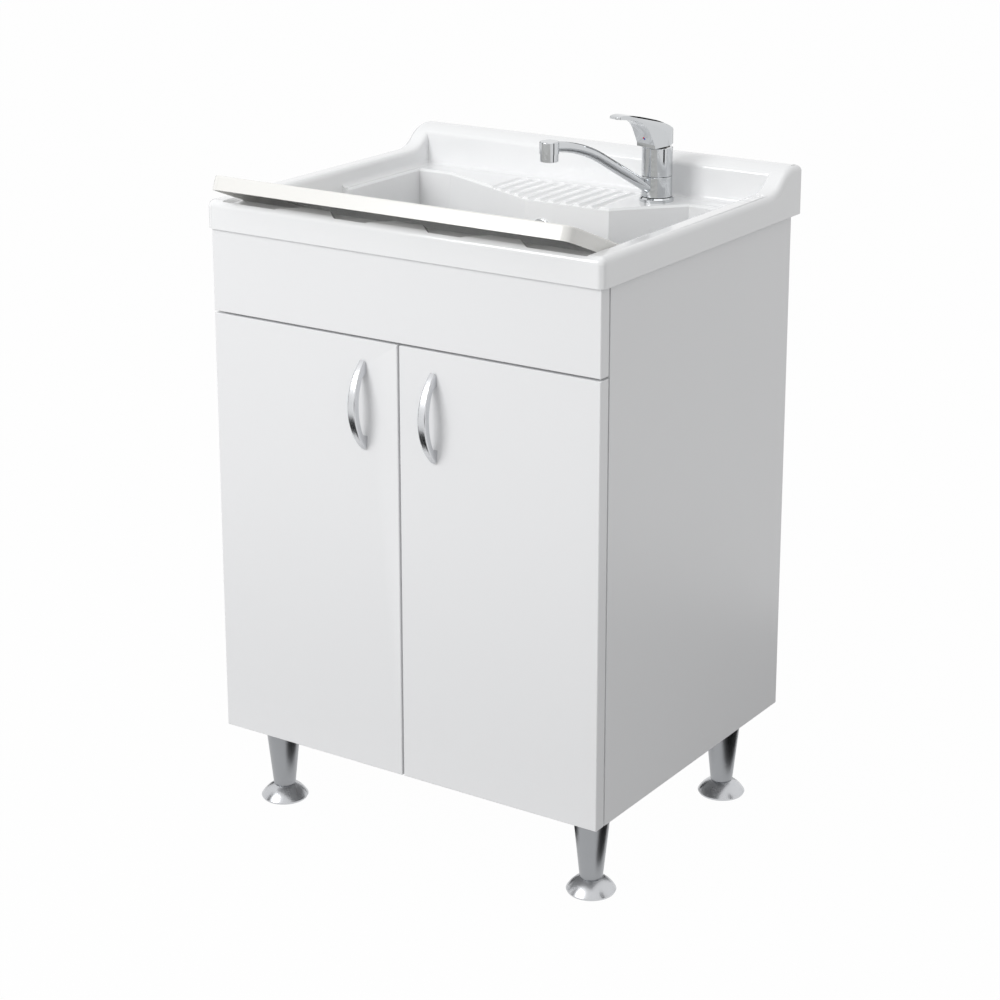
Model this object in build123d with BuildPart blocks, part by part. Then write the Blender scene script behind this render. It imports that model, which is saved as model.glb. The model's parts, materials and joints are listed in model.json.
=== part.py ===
from build123d import *
import math
import os

os.makedirs("parts", exist_ok=True)

# A utility laundry sink: a glossy moulded sink top with a back splash, a washboard and a single
# lever tap, on a two door cabinet with four adjustable legs.
# Millimetres. X runs to the right, Y to the back, Z up, and Z = 0 is the floor.
# Depths called "back(d)" are measured from the front face of the doors.

# ---- Driving dimensions: overall -------------------------------------------------------------
cabinet_width = 590.0
underside = 120.0            # floor to the underside of the cabinet
board_reach = 34.0           # how far the washboard's lip stands in front of the doors
sink_rear = 496.0            # door face to the back of the sink top
rear_overhang = 16.0         # side panels' rear edges to the back of the sink top
cabinet_depth = sink_rear - rear_overhang

# ---- Driving dimensions: sink top -------------------------------------------------------------
side_overhang = 5.0          # sink skirt outside the side panels
sink_width = cabinet_width + 2 * side_overhang
sink_overhang = 4.5          # sink skirt in front of the doors
rim_top = 853.0
skirt_height = 38.0
skirt_bottom = rim_top - skirt_height
splash_rise = 29.0
splash_top = rim_top + splash_rise
deck_drop = 25.0
deck_top = rim_top - deck_drop
sink_wall = 4.0
front_corner_radius = 9.5
skirt_inner_radius = 1.0
rear_corner_radius = 36.0
rim_round = 9.0
rise_inset = 16.0            # back of the sink top to the end of the side rims' rise
rise_end = sink_rear - rise_inset
rise_length = 70.0
rise_start = rise_end - rise_length
side_rim = 28.5
upper_half_width = sink_width / 2 - side_rim
upper_front = 33.0
splash_thickness = 44.0
splash_face = sink_rear - splash_thickness
splash_roof = 6.0            # thickness of the splash's top
upper_rear_radius = 40.0
upper_front_radius = 12.0
inner_round = 7.0
deck_round = 6.0
wall_draft = 3.0             # degrees
side_deck = 11.5             # the deck's width beside, in front of and behind the deep basin
front_deck = 13.0
rear_deck = 39.0
basin_half_width = upper_half_width - side_deck
basin_front = upper_front + front_deck
basin_rear = splash_face - rear_deck
basin_depth = 225.0
basin_floor = deck_top - basin_depth
basin_front_radius = 44.0
basin_rear_radius = 32.0
basin_floor_round = 18.0
basin_edge_round = 3.0
basin_edge_angle = 40.0      # degrees
shelf_bulge = 82.0           # how far the shelf with the ribs bulges forward
shelf_front = basin_rear - shelf_bulge
shelf_left = -28.0
shelf_right = 104.0
shelf_left_room = 54.0       # from the basin's side to the bulge's root
shelf_right_room = 82.0
shelf_left_root = shelf_left_room - basin_half_width
shelf_right_root = basin_half_width - shelf_right_room
shelf_round = 60.0
groove_count = 10
groove_pitch = 20.3
groove_center_x = -8.0
groove_radius = 10.0
groove_depth = 3.2
groove_inset = 16.0          # the grooves end this far in front of the splash
groove_end = splash_face - groove_inset
rim_recess_count = 4
rim_recess_land = 30.0       # between two of them, at their floor
rim_recess_slant = 34.0
rim_recess_depth = 4.8
rim_recess_front = 3.0
rim_recess_flare = 45.0      # degrees

# ---- Driving dimensions: washboard --------------------------------------------------------------
board_side_gap = 1.5
board_width = 2 * (upper_half_width - board_side_gap)
board_length = 295.0
board_seat_gap = 0.3         # running clearance under the board and behind it
board_flange = 19.0
board_wall = 3.5
board_tilt = 21.5            # degrees, down to the back
board_lip = 875.2            # height of the lip's lower edge
board_corner_radius = 14.0
board_edge_round = 2.5
board_rib_count = 16
board_rib_pitch = 13.0
board_rib_start = 48.0       # lip to the first rib
board_rib_radius = 5.0
board_rib_height = 2.0
board_rib_length = 440.0

# ---- Driving dimensions: cabinet -----------------------------------------------------------------
panel = 16.0
door_thickness = 18.0
carcass_gap = 3.0            # door backs to the carcass
center_gap = 3.0             # between the doors
top_gap = 3.0                # doors to fascia
fascia_drop = 13.0           # rim to the fascia's top edge, inside the skirt
fascia_height = 135.0
fascia_top = rim_top - fascia_drop
door_top = fascia_top - fascia_height - top_gap
front_edge_round = 0.8
rail_lap = 17.0              # how far the front rail reaches behind the doors
rail_drop = 15.0             # sink skirt to the upper rails' top edges
front_rail_bottom = door_top - rail_lap
rail_top = skirt_bottom - rail_drop
back_rail_upper_height = 100.0
back_rail_lower_height = 80.0
screw_radius = 2.0
screw_bite = 12.0            # how far a chipboard screw goes in
screw_head_radius = 4.0
screw_head_height = 2.2
screw_slot = 0.8
head_room = 0.5              # round a screw's head
fascia_screw_x = (-210.0, -80.0, 80.0, 210.0)
fascia_screw_drop = 80.0
fascia_screw_z = fascia_top - fascia_screw_drop
spacer_radius = 8.0
pad_radius = 4.0
pad_gap = 0.3
pad_x = 42.0

# ---- Driving dimensions: concealed hinges ----------------------------------------------------------
hinge_inset = 90.0           # door end to hinge centre
pin_inset = 7.0              # door's outer edge to the hinge pin
pin_depth = 9.0              # door face to the hinge pin
hinge_pin_radius = 1.0
hinge_pin_half_length = 7.5
running_clearance = 0.05
cup_radius = 17.5
cup_inset = 20.5             # door's outer edge to the cup's centre
cup_depth = 13.4
cup_fit = 0.05
cup_flange_thickness = 1.2
cup_flange_width = 23.0
cup_flange_height = 60.0
cup_screw_offset = 24.0
cup_screw_bite = 9.0
cup_screw_head_radius = 3.5
cup_screw_head_height = 1.2
pocket_inner = 16.5          # cup centre to the pocket's inner end
pocket_outer = 15.9          # and to its outer end
pocket_half_height = 4.5
pocket_floor = 5.6           # door face to the pocket's floor
arm_half_height = 4.0
arm_eye_radius = 2.0
arm_nose_length = 12.0
arm_nose_thickness = 1.8
arm_nose_angle = 7.0         # degrees
arm_bar_thickness = 2.5
arm_bar_end = 76.0
plate_thickness = 1.5
plate_front = 42.0
plate_length = 36.0
plate_half_height = 20.0
plate_screw_offset = 13.0

# ---- Driving dimensions: bow handles ---------------------------------------------------------------
handle_length = 117.0
handle_pitch = 96.0
handle_reach = 28.0
handle_waist = 8.5           # thickness of the bow at its middle
handle_width = 12.5
handle_end_width = 8.0
handle_foot = 13.0
handle_x = 54.0
handle_drop = 85.0           # door's top edge to the handle's middle
handle_z = door_top - handle_drop
handle_round = 2.6
handle_tip = 3.0             # the bow's ends start this far in front of the door
handle_foot_lean = 4.0
handle_screw_bite = 8.0

# ---- Driving dimensions: legs and feet ---------------------------------------------------------------
leg_inset_x = 45.0           # side of the cabinet to the leg's axis
leg_front = 64.0             # door face to the front legs' axis
leg_rear_inset = 70.0        # side panels' rear edges to the rear legs' axis
leg_rear = cabinet_depth - leg_rear_inset
leg_top_radius = 25.5
leg_bottom_radius = 15.0
leg_bottom = 20.0
leg_end_round = 1.0
leg_plate_radius = 21.0
leg_plate_thickness = 5.0
leg_plate_fit = 0.05
leg_screw_circle = 13.0
leg_screw_count = 3
foot_radius = 32.5
foot_edge = 3.0
foot_chamfer = 1.5
foot_shoulder_in = 6.5       # the dome's middle: in from the edge, and up from it
foot_shoulder_up = 8.5
foot_stud_radius = 5.0
foot_stud_length = 60.0

# ---- Driving dimensions: waste and overflow ------------------------------------------------------------
waste_depth = 190.0
waste_hole_radius = 25.0
strainer_radius = 34.0
strainer_thickness = 2.5
strainer_bevel = 2.0
strainer_dish = 0.5          # its holed plate stands this much above the basin floor
strainer_throat = 14.0
throat_fit = 0.2
strainer_holes = 8
strainer_hole_radius = 4.0
strainer_hole_circle = 14.0
tube_wall = 2.5
waste_seal_thickness = 3.0
waste_flange_thickness = 5.0
funnel_height = 34.0
funnel_cone = 12.0
tail_radius = 20.0
outlet_drop = 113.0          # basin floor to the outlet's axis
outlet_z = basin_floor - outlet_drop
trap_rise = 40.0             # the outlet's axis up to the trap's top
trap_joint_drop = 44.0       # and down to the trap's cup, the tail pipe's end and the cup's bottom
tail_drop = 68.0
trap_drop = 94.0
waste_bridge_width = 8.0     # the bridge in the funnel that takes the strainer's screw
waste_bridge_height = 10.0
waste_bridge_drop = 14.0
waste_screw_radius = 3.0
waste_screw_head = 2.0
trap_radius = 33.0
trap_shoulder = 12.0
trap_wall = 3.0
cup_corner = 7.0
cup_collar = 14.0            # height of the ribbed collar that screws the cup on
cup_lap = 6.0
outlet_neck = 14.0
outlet_socket = 10.0
outlet_spigot = 60.0         # the outlet's free end, up to a stop bead
outlet_bead = 1.5
nut_radius = 28.0
nut_height = 18.0
nut_ribs = 12
nut_rib_radius = 1.8
overflow_drop = 67.0         # rim to the overflow's middle
overflow_z = rim_top - overflow_drop
overflow_hole_radius = 13.0
overflow_ring_radius = 16.5
overflow_ring_thickness = 2.5
overflow_ring_width = 2.5
overflow_fit = 1.0
overflow_bar = 2.4
overflow_hub = 4.0
overflow_screw_radius = 2.0
overflow_screw_length = 18.0
overflow_screw_head = 1.4
overflow_elbow_reach = 28.0
overflow_elbow_drop = 42.0
overflow_elbow_wall = 3.0
overflow_bridge = 4.0
overflow_seat_gap = 0.1
overflow_pipe_radius = 10.0
overflow_pipe_wall = 1.5
overflow_bend = 42.0
overflow_socket = 8.0
overflow_port_reach = 48.0

# ---- Driving dimensions: mixer tap ------------------------------------------------------------------------
tap_x = 129.0
tap_inset = 40.0             # splash to the tap's axis
tap_depth = splash_face - tap_inset
tap_turn = 16.4              # degrees that spout and lever point to the left of straight ahead
tap_hole_radius = 17.5
tap_ring_radius = 23.0
tap_ring_height = 6.0
tap_ring_round = 2.0
tap_ring_lip = 2.0           # thickness of the ring's inner lip, which the post stands on
tap_lip_radius = 13.9
tap_radius = 20.5
tap_post_radius = 15.0
tap_edge = 0.6
collar_top = 34.0
tap_body_top = 73.0
tap_seam = 0.4               # gap between pieces that turn on each other
cartridge_radius = 17.0
cartridge_bottom = 42.0
cartridge_top = 64.0
cartridge_recess = 2.3
cartridge_nut_height = 8.0
spindle_radius = 9.0
spindle_top = 74.5
spindle_rest = 0.3           # under the spindle
spindle_block_front = -1.0   # along the lever, then half width and top
spindle_block_rear = -11.0
spindle_block_half = 6.0
spindle_block_top = 88.0
lift_pin_radius = 1.5
lift_pin_back = 6.0          # the lift axis lies behind the tap's axis
lift_pin_height = 82.0
lift_pin_half = 13.0
lever_skirt_front = 74.0     # heights of the lever's lower edge
lever_skirt_rear = 78.5
lever_cavity_top = 76.0
lever_slot_clearance = 0.3
lever_slot_front = 4.0
lever_slot_rear = -15.5
lever_slot_top = 91.0
lever_tip = 80.0
lever_tip_half_width = 9.0
lever_tip_round = 5.0
lever_edge_round = 1.2
lever_arch_radius = 22.0     # the lever's top is an arch across
lever_arch_top = 109.0       # height of the arch's crest at the tap's axis
lever_arch_slope = 14.6      # degrees, the crest rises toward the tip
lever_rear_height = 84.0
button_radius = 2.2
button_depth = 1.2
button_proud = 0.4
button_forward = 24.3
button_height = 86.5
button_lean = 25.8           # degrees, its face looks forward and down
spout_root = 14.0            # distances along the spout, then heights above the deck
spout_root_height = 18.0
spout_bend = 100.0
spout_bend_height = 69.0
spout_end = 190.0
spout_end_height = 94.9
spout_half_width = 8.5
spout_half_height = 7.2
waterway_radius = 4.5
boss_radius = 12.8
boss_bottom = 86.8
boss_top = 102.9
boss_round = 1.5
aerator_radius = 11.8
aerator_height = 10.0
aerator_mouth_radius = 9.0
aerator_mouth_depth = 4.0
aerator_hole_radius = 1.2
aerator_hole_circle = 5.0
aerator_holes = 6
stud_radius = 4.0
stud_fit = 0.03
stud_offset = 7.5
stud_top = 12.0
stud_drop = 46.0
inlet_radius = 5.0
inlet_offset = 7.5
inlet_forward = 4.0
inlet_depth = 14.0
gasket_thickness = 2.0
clamp_thickness = 3.0
clamp_radius = 24.0
clamp_slot = 13.0            # half width of the clamp's open slot, and how far back it reaches
clamp_slot_back = 2.0
clamp_nut_radius = 7.5
clamp_nut_height = 6.5

door_face = -(sink_rear - board_reach) / 2


def back(depth):
    """Y of a point at this depth behind the door face."""
    return door_face + depth


UPWARD = (Align.CENTER, Align.CENTER, Align.MIN)      # where a cylinder stands on its place
DOWNWARD = (Align.CENTER, Align.CENTER, Align.MAX)    # and where it hangs from it

# ---- Sink top ---------------------------------------------------------------------------------
sink_half_width = sink_width / 2
sink_front_y = back(-sink_overhang)
rise_middle = (back((rise_start + rise_end) / 2), (rim_top + splash_top) / 2)
tilt = math.radians(board_tilt)


def board_line(depth):
    """Height of the washboard's lower edge at this depth."""
    return board_lip - math.tan(tilt) * (depth + board_reach)


def rounded_plan(half_width, front, rear, front_radius, rear_radius):
    """A plan outline, symmetric in X, with its own radius at the front and at the rear corners."""
    with BuildSketch(mode=Mode.PRIVATE) as plan:
        with Locations((0, (back(front) + back(rear)) / 2)):
            Rectangle(2 * half_width, rear - front)
        corners = plan.vertices().sort_by(Axis.Y)
        fillet(corners[:2], front_radius)
        fillet(corners[2:], rear_radius)
    return plan.sketch


def basin_plan(grow):
    """The deep basin's outline, with its rear edge bulging round the ribbed shelf."""
    half = basin_half_width + grow
    front = back(basin_front - grow)
    rear = back(basin_rear + grow)
    with BuildSketch(mode=Mode.PRIVATE) as plan:
        with BuildLine():
            Polyline(
                (-half, front),
                (half, front),
                (half, rear),
                (shelf_right_root, rear),
                (shelf_right, back(shelf_front + grow)),
                (shelf_left, back(shelf_front + grow)),
                (shelf_left_root, rear),
                (-half, rear),
                close=True,
            )
        make_face()
        front_corners = plan.vertices().group_by(Axis.Y)[0]
        inner = plan.vertices().filter_by_position(Axis.X, shelf_left_root - 1, shelf_right_root + 1)
        sides = plan.vertices().filter_by_position(Axis.Y, rear - 1, rear + 1)
        rear_corners = sides.sort_by(Axis.X)[::3]
        fillet(front_corners, basin_front_radius + grow)
        fillet(rear_corners, basin_rear_radius + grow)
        fillet(inner, shelf_round)
    return plan.sketch


def basin_block(grow, top):
    """The deep basin as a block with leaning walls and a rounded floor, larger all round by grow."""
    with BuildPart(mode=Mode.PRIVATE) as block:
        with BuildSketch(Plane.XY.offset(top)):
            add(basin_plan(grow))
        extrude(amount=-(top - basin_floor + grow), taper=wall_draft)
        fillet(block.faces().sort_by(Axis.Z)[0].edges(), basin_floor_round + grow)
    return block.part


recess_floor = rim_top - rim_recess_depth
channel_top = recess_floor - sink_wall
basin_outside = basin_block(sink_wall, deck_top - sink_wall / 4)
basin_hollow = basin_block(0, deck_top)
ledge_start = (board_lip - deck_top) / math.tan(tilt) - board_reach - 2 * sink_wall
board_rear = board_length * math.cos(tilt) + board_flange * math.sin(tilt) - board_reach
step_depth = board_rear + board_seat_gap
seat_drop = board_seat_gap / math.cos(tilt)

with BuildPart() as sink_top:
    # the whole block, its sides rising to the back splash, its top edge rounded all round
    with BuildSketch(Plane.XY.offset(skirt_bottom)):
        add(rounded_plan(
            sink_half_width,
            -sink_overhang,
            sink_rear,
            front_corner_radius,
            rear_corner_radius,
        ))
    extrude(amount=splash_top - skirt_bottom)
    with BuildSketch(Plane.YZ):
        with BuildLine():
            Line((sink_front_y - 10, rim_top), (back(rise_start), rim_top))
            lower = TangentArc((back(rise_start), rim_top), rise_middle, tangent=(1, 0))
            TangentArc(rise_middle, (back(rise_end), splash_top), tangent=lower % 1)
            Polyline(
                (back(rise_end), splash_top),
                (back(rise_end), splash_top + 10),
                (sink_front_y - 10, splash_top + 10),
                (sink_front_y - 10, rim_top),
            )
        make_face()
    extrude(amount=sink_width, both=True, mode=Mode.SUBTRACT)
    top_edges = sink_top.edges().filter_by(Axis.Z, reverse=True)
    fillet(top_edges.filter_by_position(Axis.Z, rim_top - 1, splash_top + 1), rim_round)

    # the hollow above the deck
    with BuildSketch(Plane.XY.offset(deck_top)):
        add(rounded_plan(upper_half_width, upper_front, splash_face, upper_front_radius, upper_rear_radius))
    extrude(amount=splash_top - deck_top + 10, mode=Mode.SUBTRACT)
    near_top = sink_top.edges().filter_by_position(Axis.Z, rim_top - 0.1, splash_top + 0.1)
    near_top = near_top.filter_by_position(Axis.X, -upper_half_width - 0.1, upper_half_width + 0.1)
    near_top = near_top.filter_by_position(Axis.Y, back(upper_front) - 0.1, back(splash_face) + 0.1)
    fillet(near_top, inner_round)
    fillet(sink_top.edges().filter_by_position(Axis.Z, deck_top - 0.1, deck_top + 0.1), deck_round)

    # the underside is open: a skirt, and a channel under the rim for the panels' top edges
    with BuildSketch(Plane.XY.offset(skirt_bottom)):
        add(rounded_plan(
            sink_half_width - sink_wall,
            sink_wall - sink_overhang,
            sink_rear - sink_wall,
            skirt_inner_radius,
            rear_corner_radius - sink_wall,
        ))
    extrude(amount=deck_top - sink_wall - skirt_bottom, mode=Mode.SUBTRACT)
    with BuildSketch(Plane.XY.offset(skirt_bottom)):
        add(rounded_plan(
            sink_half_width - sink_wall,
            sink_wall - sink_overhang,
            sink_rear - sink_wall,
            skirt_inner_radius,
            rear_corner_radius - sink_wall,
        ))
        add(rounded_plan(
            upper_half_width + sink_wall,
            upper_front - sink_wall,
            splash_face + sink_wall + 2,
            upper_front_radius + sink_wall,
            upper_rear_radius + sink_wall,
        ), mode=Mode.SUBTRACT)
    extrude(amount=channel_top - skirt_bottom, mode=Mode.SUBTRACT)

    # the deep basin, its outside first and then its hollow
    add(basin_outside)
    # side strips that the washboard slides on
    for side in (-1, 1):
        with BuildSketch(Plane.YZ.offset(side * (basin_half_width - basin_front_radius / 2))):
            Polygon(
                (back(ledge_start), deck_top - sink_wall / 2),
                (back(ledge_start), deck_top - 1.5 * sink_wall),
                (back(step_depth + sink_wall), board_line(step_depth + sink_wall) - sink_wall),
                (back(step_depth + sink_wall), deck_top - sink_wall / 2),
                align=None,
            )
        extrude(amount=side * (upper_half_width + sink_wall - basin_half_width + basin_front_radius / 2))
    add(basin_hollow, mode=Mode.SUBTRACT)
    with BuildSketch(Plane.XY.offset(deck_top - basin_edge_round)):
        add(basin_plan(0))
    extrude(amount=2 * basin_edge_round, taper=-basin_edge_angle, mode=Mode.SUBTRACT)
    with BuildSketch(Plane.YZ):
        Polygon(
            (back(upper_front), rim_top),
            (back(upper_front), board_line(upper_front) - seat_drop),
            (back(step_depth), board_line(step_depth) - seat_drop),
            (back(step_depth), rim_top),
            align=None,
        )
    extrude(amount=upper_half_width, both=True, mode=Mode.SUBTRACT)

    # shallow trays in the front rim, between narrow lands, for the washboard's flanges
    rim_recess_width = (2 * upper_half_width - (rim_recess_count - 1) * rim_recess_land) / rim_recess_count
    for index in range(rim_recess_count):
        center_x = (index - (rim_recess_count - 1) / 2) * (rim_recess_width + rim_recess_land)
        half_width = rim_recess_width / 2
        left_slant = rim_recess_slant if index > 0 else 0
        right_slant = rim_recess_slant if index < rim_recess_count - 1 else 0
        with BuildSketch(Plane.XY.offset(recess_floor)):
            with Locations((center_x, 0)):
                Polygon(
                    (left_slant - half_width, back(rim_recess_front)),
                    (half_width - right_slant, back(rim_recess_front)),
                    (half_width, back(upper_front + inner_round)),
                    (-half_width, back(upper_front + inner_round)),
                    align=None,
                )
        extrude(amount=rim_recess_depth + 1, taper=-rim_recess_flare, mode=Mode.SUBTRACT)

    # ribs on the shelf are left between round channels that run out over its front edge
    for index in range(groove_count):
        groove_x = groove_center_x + (index - (groove_count - 1) / 2) * groove_pitch
        groove_z = deck_top - groove_depth + groove_radius
        with Locations((groove_x, back(groove_end), groove_z)):
            Sphere(groove_radius, mode=Mode.SUBTRACT)
            Cylinder(
                groove_radius,
                groove_end - shelf_front + 20,
                rotation=(90, 0, 0),
                align=UPWARD,
                mode=Mode.SUBTRACT,
            )

    # the back splash is hollow, its roof sloping with the rise
    with BuildSketch(Plane.YZ):
        Polygon(
            (back(splash_face + sink_wall), skirt_bottom),
            (back(sink_rear - sink_wall), skirt_bottom),
            (back(sink_rear - sink_wall), splash_top - splash_roof),
            (back(rise_end), splash_top - splash_roof),
            (back(splash_face + sink_wall), splash_top - 3 * splash_roof),
            align=None,
        )
    extrude(amount=sink_half_width - rear_corner_radius, both=True, mode=Mode.SUBTRACT)

    # holes for the tap, the waste and the overflow
    with Locations((tap_x, back(tap_depth), deck_top)):
        Cylinder(tap_hole_radius, 3 * sink_wall, mode=Mode.SUBTRACT)
    with Locations((0, back(waste_depth), basin_floor)):
        Cylinder(waste_hole_radius, 3 * sink_wall, mode=Mode.SUBTRACT)
    with Locations((0, back(shelf_front), overflow_z)):
        Cylinder(overflow_hole_radius, 6 * sink_wall, rotation=(90, 0, 0), mode=Mode.SUBTRACT)
sink_top.part.label = "sink_top"
export_step(sink_top.part, "parts/sink_top.step")

# ---- Washboard: a tray turned upside down, open at its rear end, with ribs across its top -----------
board_plane = Plane(
    origin=(0, back(-board_reach), board_lip),
    x_dir=(1, 0, 0),
    z_dir=(0, math.sin(tilt), math.cos(tilt)),
)
with BuildPart() as washboard:
    with BuildSketch(board_plane):
        with Locations((0, board_length / 2)):
            Rectangle(board_width, board_length)
        fillet(vertices().sort_by(Axis.Y)[:2], board_corner_radius)
    extrude(amount=board_flange)
    upper_face = washboard.faces().sort_by(Axis((0, 0, 0), tuple(board_plane.z_dir)))[-1]
    fillet(upper_face.edges(), board_edge_round)
    with BuildSketch(board_plane):
        with Locations((0, (board_length + board_wall) / 2)):
            Rectangle(board_width - 2 * board_wall, board_length - board_wall)
        fillet(vertices().sort_by(Axis.Y)[:2], board_corner_radius - board_wall)
    extrude(amount=board_flange - board_wall, mode=Mode.SUBTRACT)
    for index in range(board_rib_count):
        rib_y = board_rib_start + index * board_rib_pitch
        rib_plane = board_plane.offset(board_flange - board_rib_radius + board_rib_height)
        with Locations(rib_plane.location * Location((0, rib_y, 0), (0, 90, 0))):
            Cylinder(board_rib_radius, board_rib_length)
washboard.part.label = "washboard"
export_step(washboard.part, "parts/washboard.step")

# ---- Cabinet panels --------------------------------------------------------------------------------
cabinet_half = cabinet_width / 2
inside_half = cabinet_half - panel
carcass_front = door_thickness + carcass_gap
sides = ((-1, "left"), (1, "right"))


def panel_block(x_inner, x_outer, front, rear, bottom, top, mode=Mode.ADD):
    """Puts a plain board between two X, two depths and two heights into the part being built."""
    with Locations(((x_inner + x_outer) / 2, back((front + rear) / 2), (bottom + top) / 2)):
        Box(abs(x_outer - x_inner), rear - front, top - bottom, mode=mode)


hinge_heights = (underside + hinge_inset, door_top - hinge_inset)
leg_places = {
    "front_left": (leg_inset_x - cabinet_half, back(leg_front)),
    "front_right": (cabinet_half - leg_inset_x, back(leg_front)),
    "rear_left": (leg_inset_x - cabinet_half, back(leg_rear)),
    "rear_right": (cabinet_half - leg_inset_x, back(leg_rear)),
}
plate_middle = plate_front + plate_length / 2
hinge_screw_places = [
    (plate_middle, height + offset)
    for height in hinge_heights
    for offset in (-plate_screw_offset, plate_screw_offset)
]

for side, end in sides:
    with BuildPart() as side_panel:
        panel_block(
            side * inside_half,
            side * cabinet_half,
            carcass_front,
            cabinet_depth,
            underside,
            channel_top,
        )
        with Locations(*[(side * inside_half, back(d), z) for d, z in hinge_screw_places]):
            Cylinder(screw_radius, 2 * screw_bite, rotation=(0, 90, 0), mode=Mode.SUBTRACT)
    side_panel.part.label = f"side_panel_{end}"
    export_step(side_panel.part, f"parts/side_panel_{end}.step")

leg_screw_places = [
    (x + leg_screw_circle * math.cos(angle), y + leg_screw_circle * math.sin(angle))
    for x, y in leg_places.values()
    for angle in [2 * math.pi * step / leg_screw_count for step in range(leg_screw_count)]
]
with BuildPart() as bottom_panel:
    panel_block(-inside_half, inside_half, carcass_front, cabinet_depth, underside, underside + panel)
    with Locations(*[(x, y, underside) for x, y in leg_screw_places]):
        Cylinder(screw_radius, 2 * screw_bite, mode=Mode.SUBTRACT)
bottom_panel.part.label = "bottom_panel"
export_step(bottom_panel.part, "parts/bottom_panel.step")

rail_rear = carcass_front + panel
fascia_screw_places = [(x, fascia_screw_z) for x in fascia_screw_x]
with BuildPart() as front_rail:
    panel_block(-inside_half, inside_half, carcass_front, rail_rear, front_rail_bottom, rail_top)
    with Locations(*[(x, back(rail_rear), z) for x, z in fascia_screw_places]):
        Cylinder(screw_radius, 3 * panel, rotation=(90, 0, 0), mode=Mode.SUBTRACT)
front_rail.part.label = "front_rail"
export_step(front_rail.part, "parts/front_rail.step")

back_rail_front = cabinet_depth - panel
back_rails = {
    "back_rail_upper": (rail_top - back_rail_upper_height, rail_top),
    "back_rail_lower": (underside + panel, underside + panel + back_rail_lower_height),
}
for rail_name, (bottom, top) in back_rails.items():
    with BuildPart() as back_rail:
        panel_block(-inside_half, inside_half, back_rail_front, cabinet_depth, bottom, top)
    back_rail.part.label = rail_name
    export_step(back_rail.part, f"parts/{rail_name}.step")

with BuildPart() as fascia_panel:
    panel_block(-cabinet_half, cabinet_half, 0, door_thickness, door_top + top_gap, fascia_top)
    chamfer(fascia_panel.faces().sort_by(Axis.Y)[0].edges(), front_edge_round)
    with Locations(*[(x, back(door_thickness), z) for x, z in fascia_screw_places]):
        Cylinder(screw_radius, 2 * screw_bite, rotation=(90, 0, 0), mode=Mode.SUBTRACT)
fascia_panel.part.label = "fascia_panel"
export_step(fascia_panel.part, "parts/fascia_panel.step")

with BuildPart() as fascia_spacers:
    with Locations(*[(x, back(door_thickness + carcass_gap / 2), z) for x, z in fascia_screw_places]):
        Cylinder(spacer_radius, carcass_gap, rotation=(90, 0, 0))
        Cylinder(screw_radius, carcass_gap, rotation=(90, 0, 0), mode=Mode.SUBTRACT)
fascia_spacers.part.label = "fascia_spacers"
export_step(fascia_spacers.part, "parts/fascia_spacers.step")


def screw(head_radius, head_height, shank_radius, shank_length):
    """A pan head screw: its head stands on Z = 0 and its shank points down."""
    with BuildPart(mode=Mode.PRIVATE) as body:
        Cylinder(head_radius, head_height, align=UPWARD)
        fillet(body.faces().sort_by(Axis.Z)[-1].edges(), head_height * 0.45)
        Cylinder(shank_radius, shank_length, align=DOWNWARD)
        with Locations((0, 0, head_height)):
            Box(head_radius, screw_slot, screw_slot, mode=Mode.SUBTRACT)
            Box(screw_slot, head_radius, screw_slot, mode=Mode.SUBTRACT)
    return body.part


fascia_screw = screw(screw_head_radius, screw_head_height, screw_radius, panel + carcass_gap + screw_bite)
with BuildPart() as fascia_screws:
    for x, z in fascia_screw_places:
        with Locations(Location((x, back(rail_rear), z), (-90, 0, 0))):
            add(fascia_screw)
fascia_screws.part.label = "fascia_screws"
export_step(fascia_screws.part, "parts/fascia_screws.step")

with BuildPart() as door_pads:
    for height in ((front_rail_bottom + door_top) / 2, underside + panel / 2):
        with Locations(*[(x, back(carcass_front), height) for x in (-pad_x, pad_x)]):
            Cylinder(
                pad_radius,
                carcass_gap - pad_gap,
                rotation=(90, 0, 0),
                align=UPWARD,
            )
door_pads.part.label = "door_pads"
export_step(door_pads.part, "parts/door_pads.step")

# ---- Doors, handles and hinges ----------------------------------------------------------------------
half_gap = center_gap / 2
pin_offset = cabinet_half - pin_inset
cup_offset = cabinet_half - cup_inset
handle_screw_heights = (handle_z - handle_pitch / 2, handle_z + handle_pitch / 2)

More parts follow.
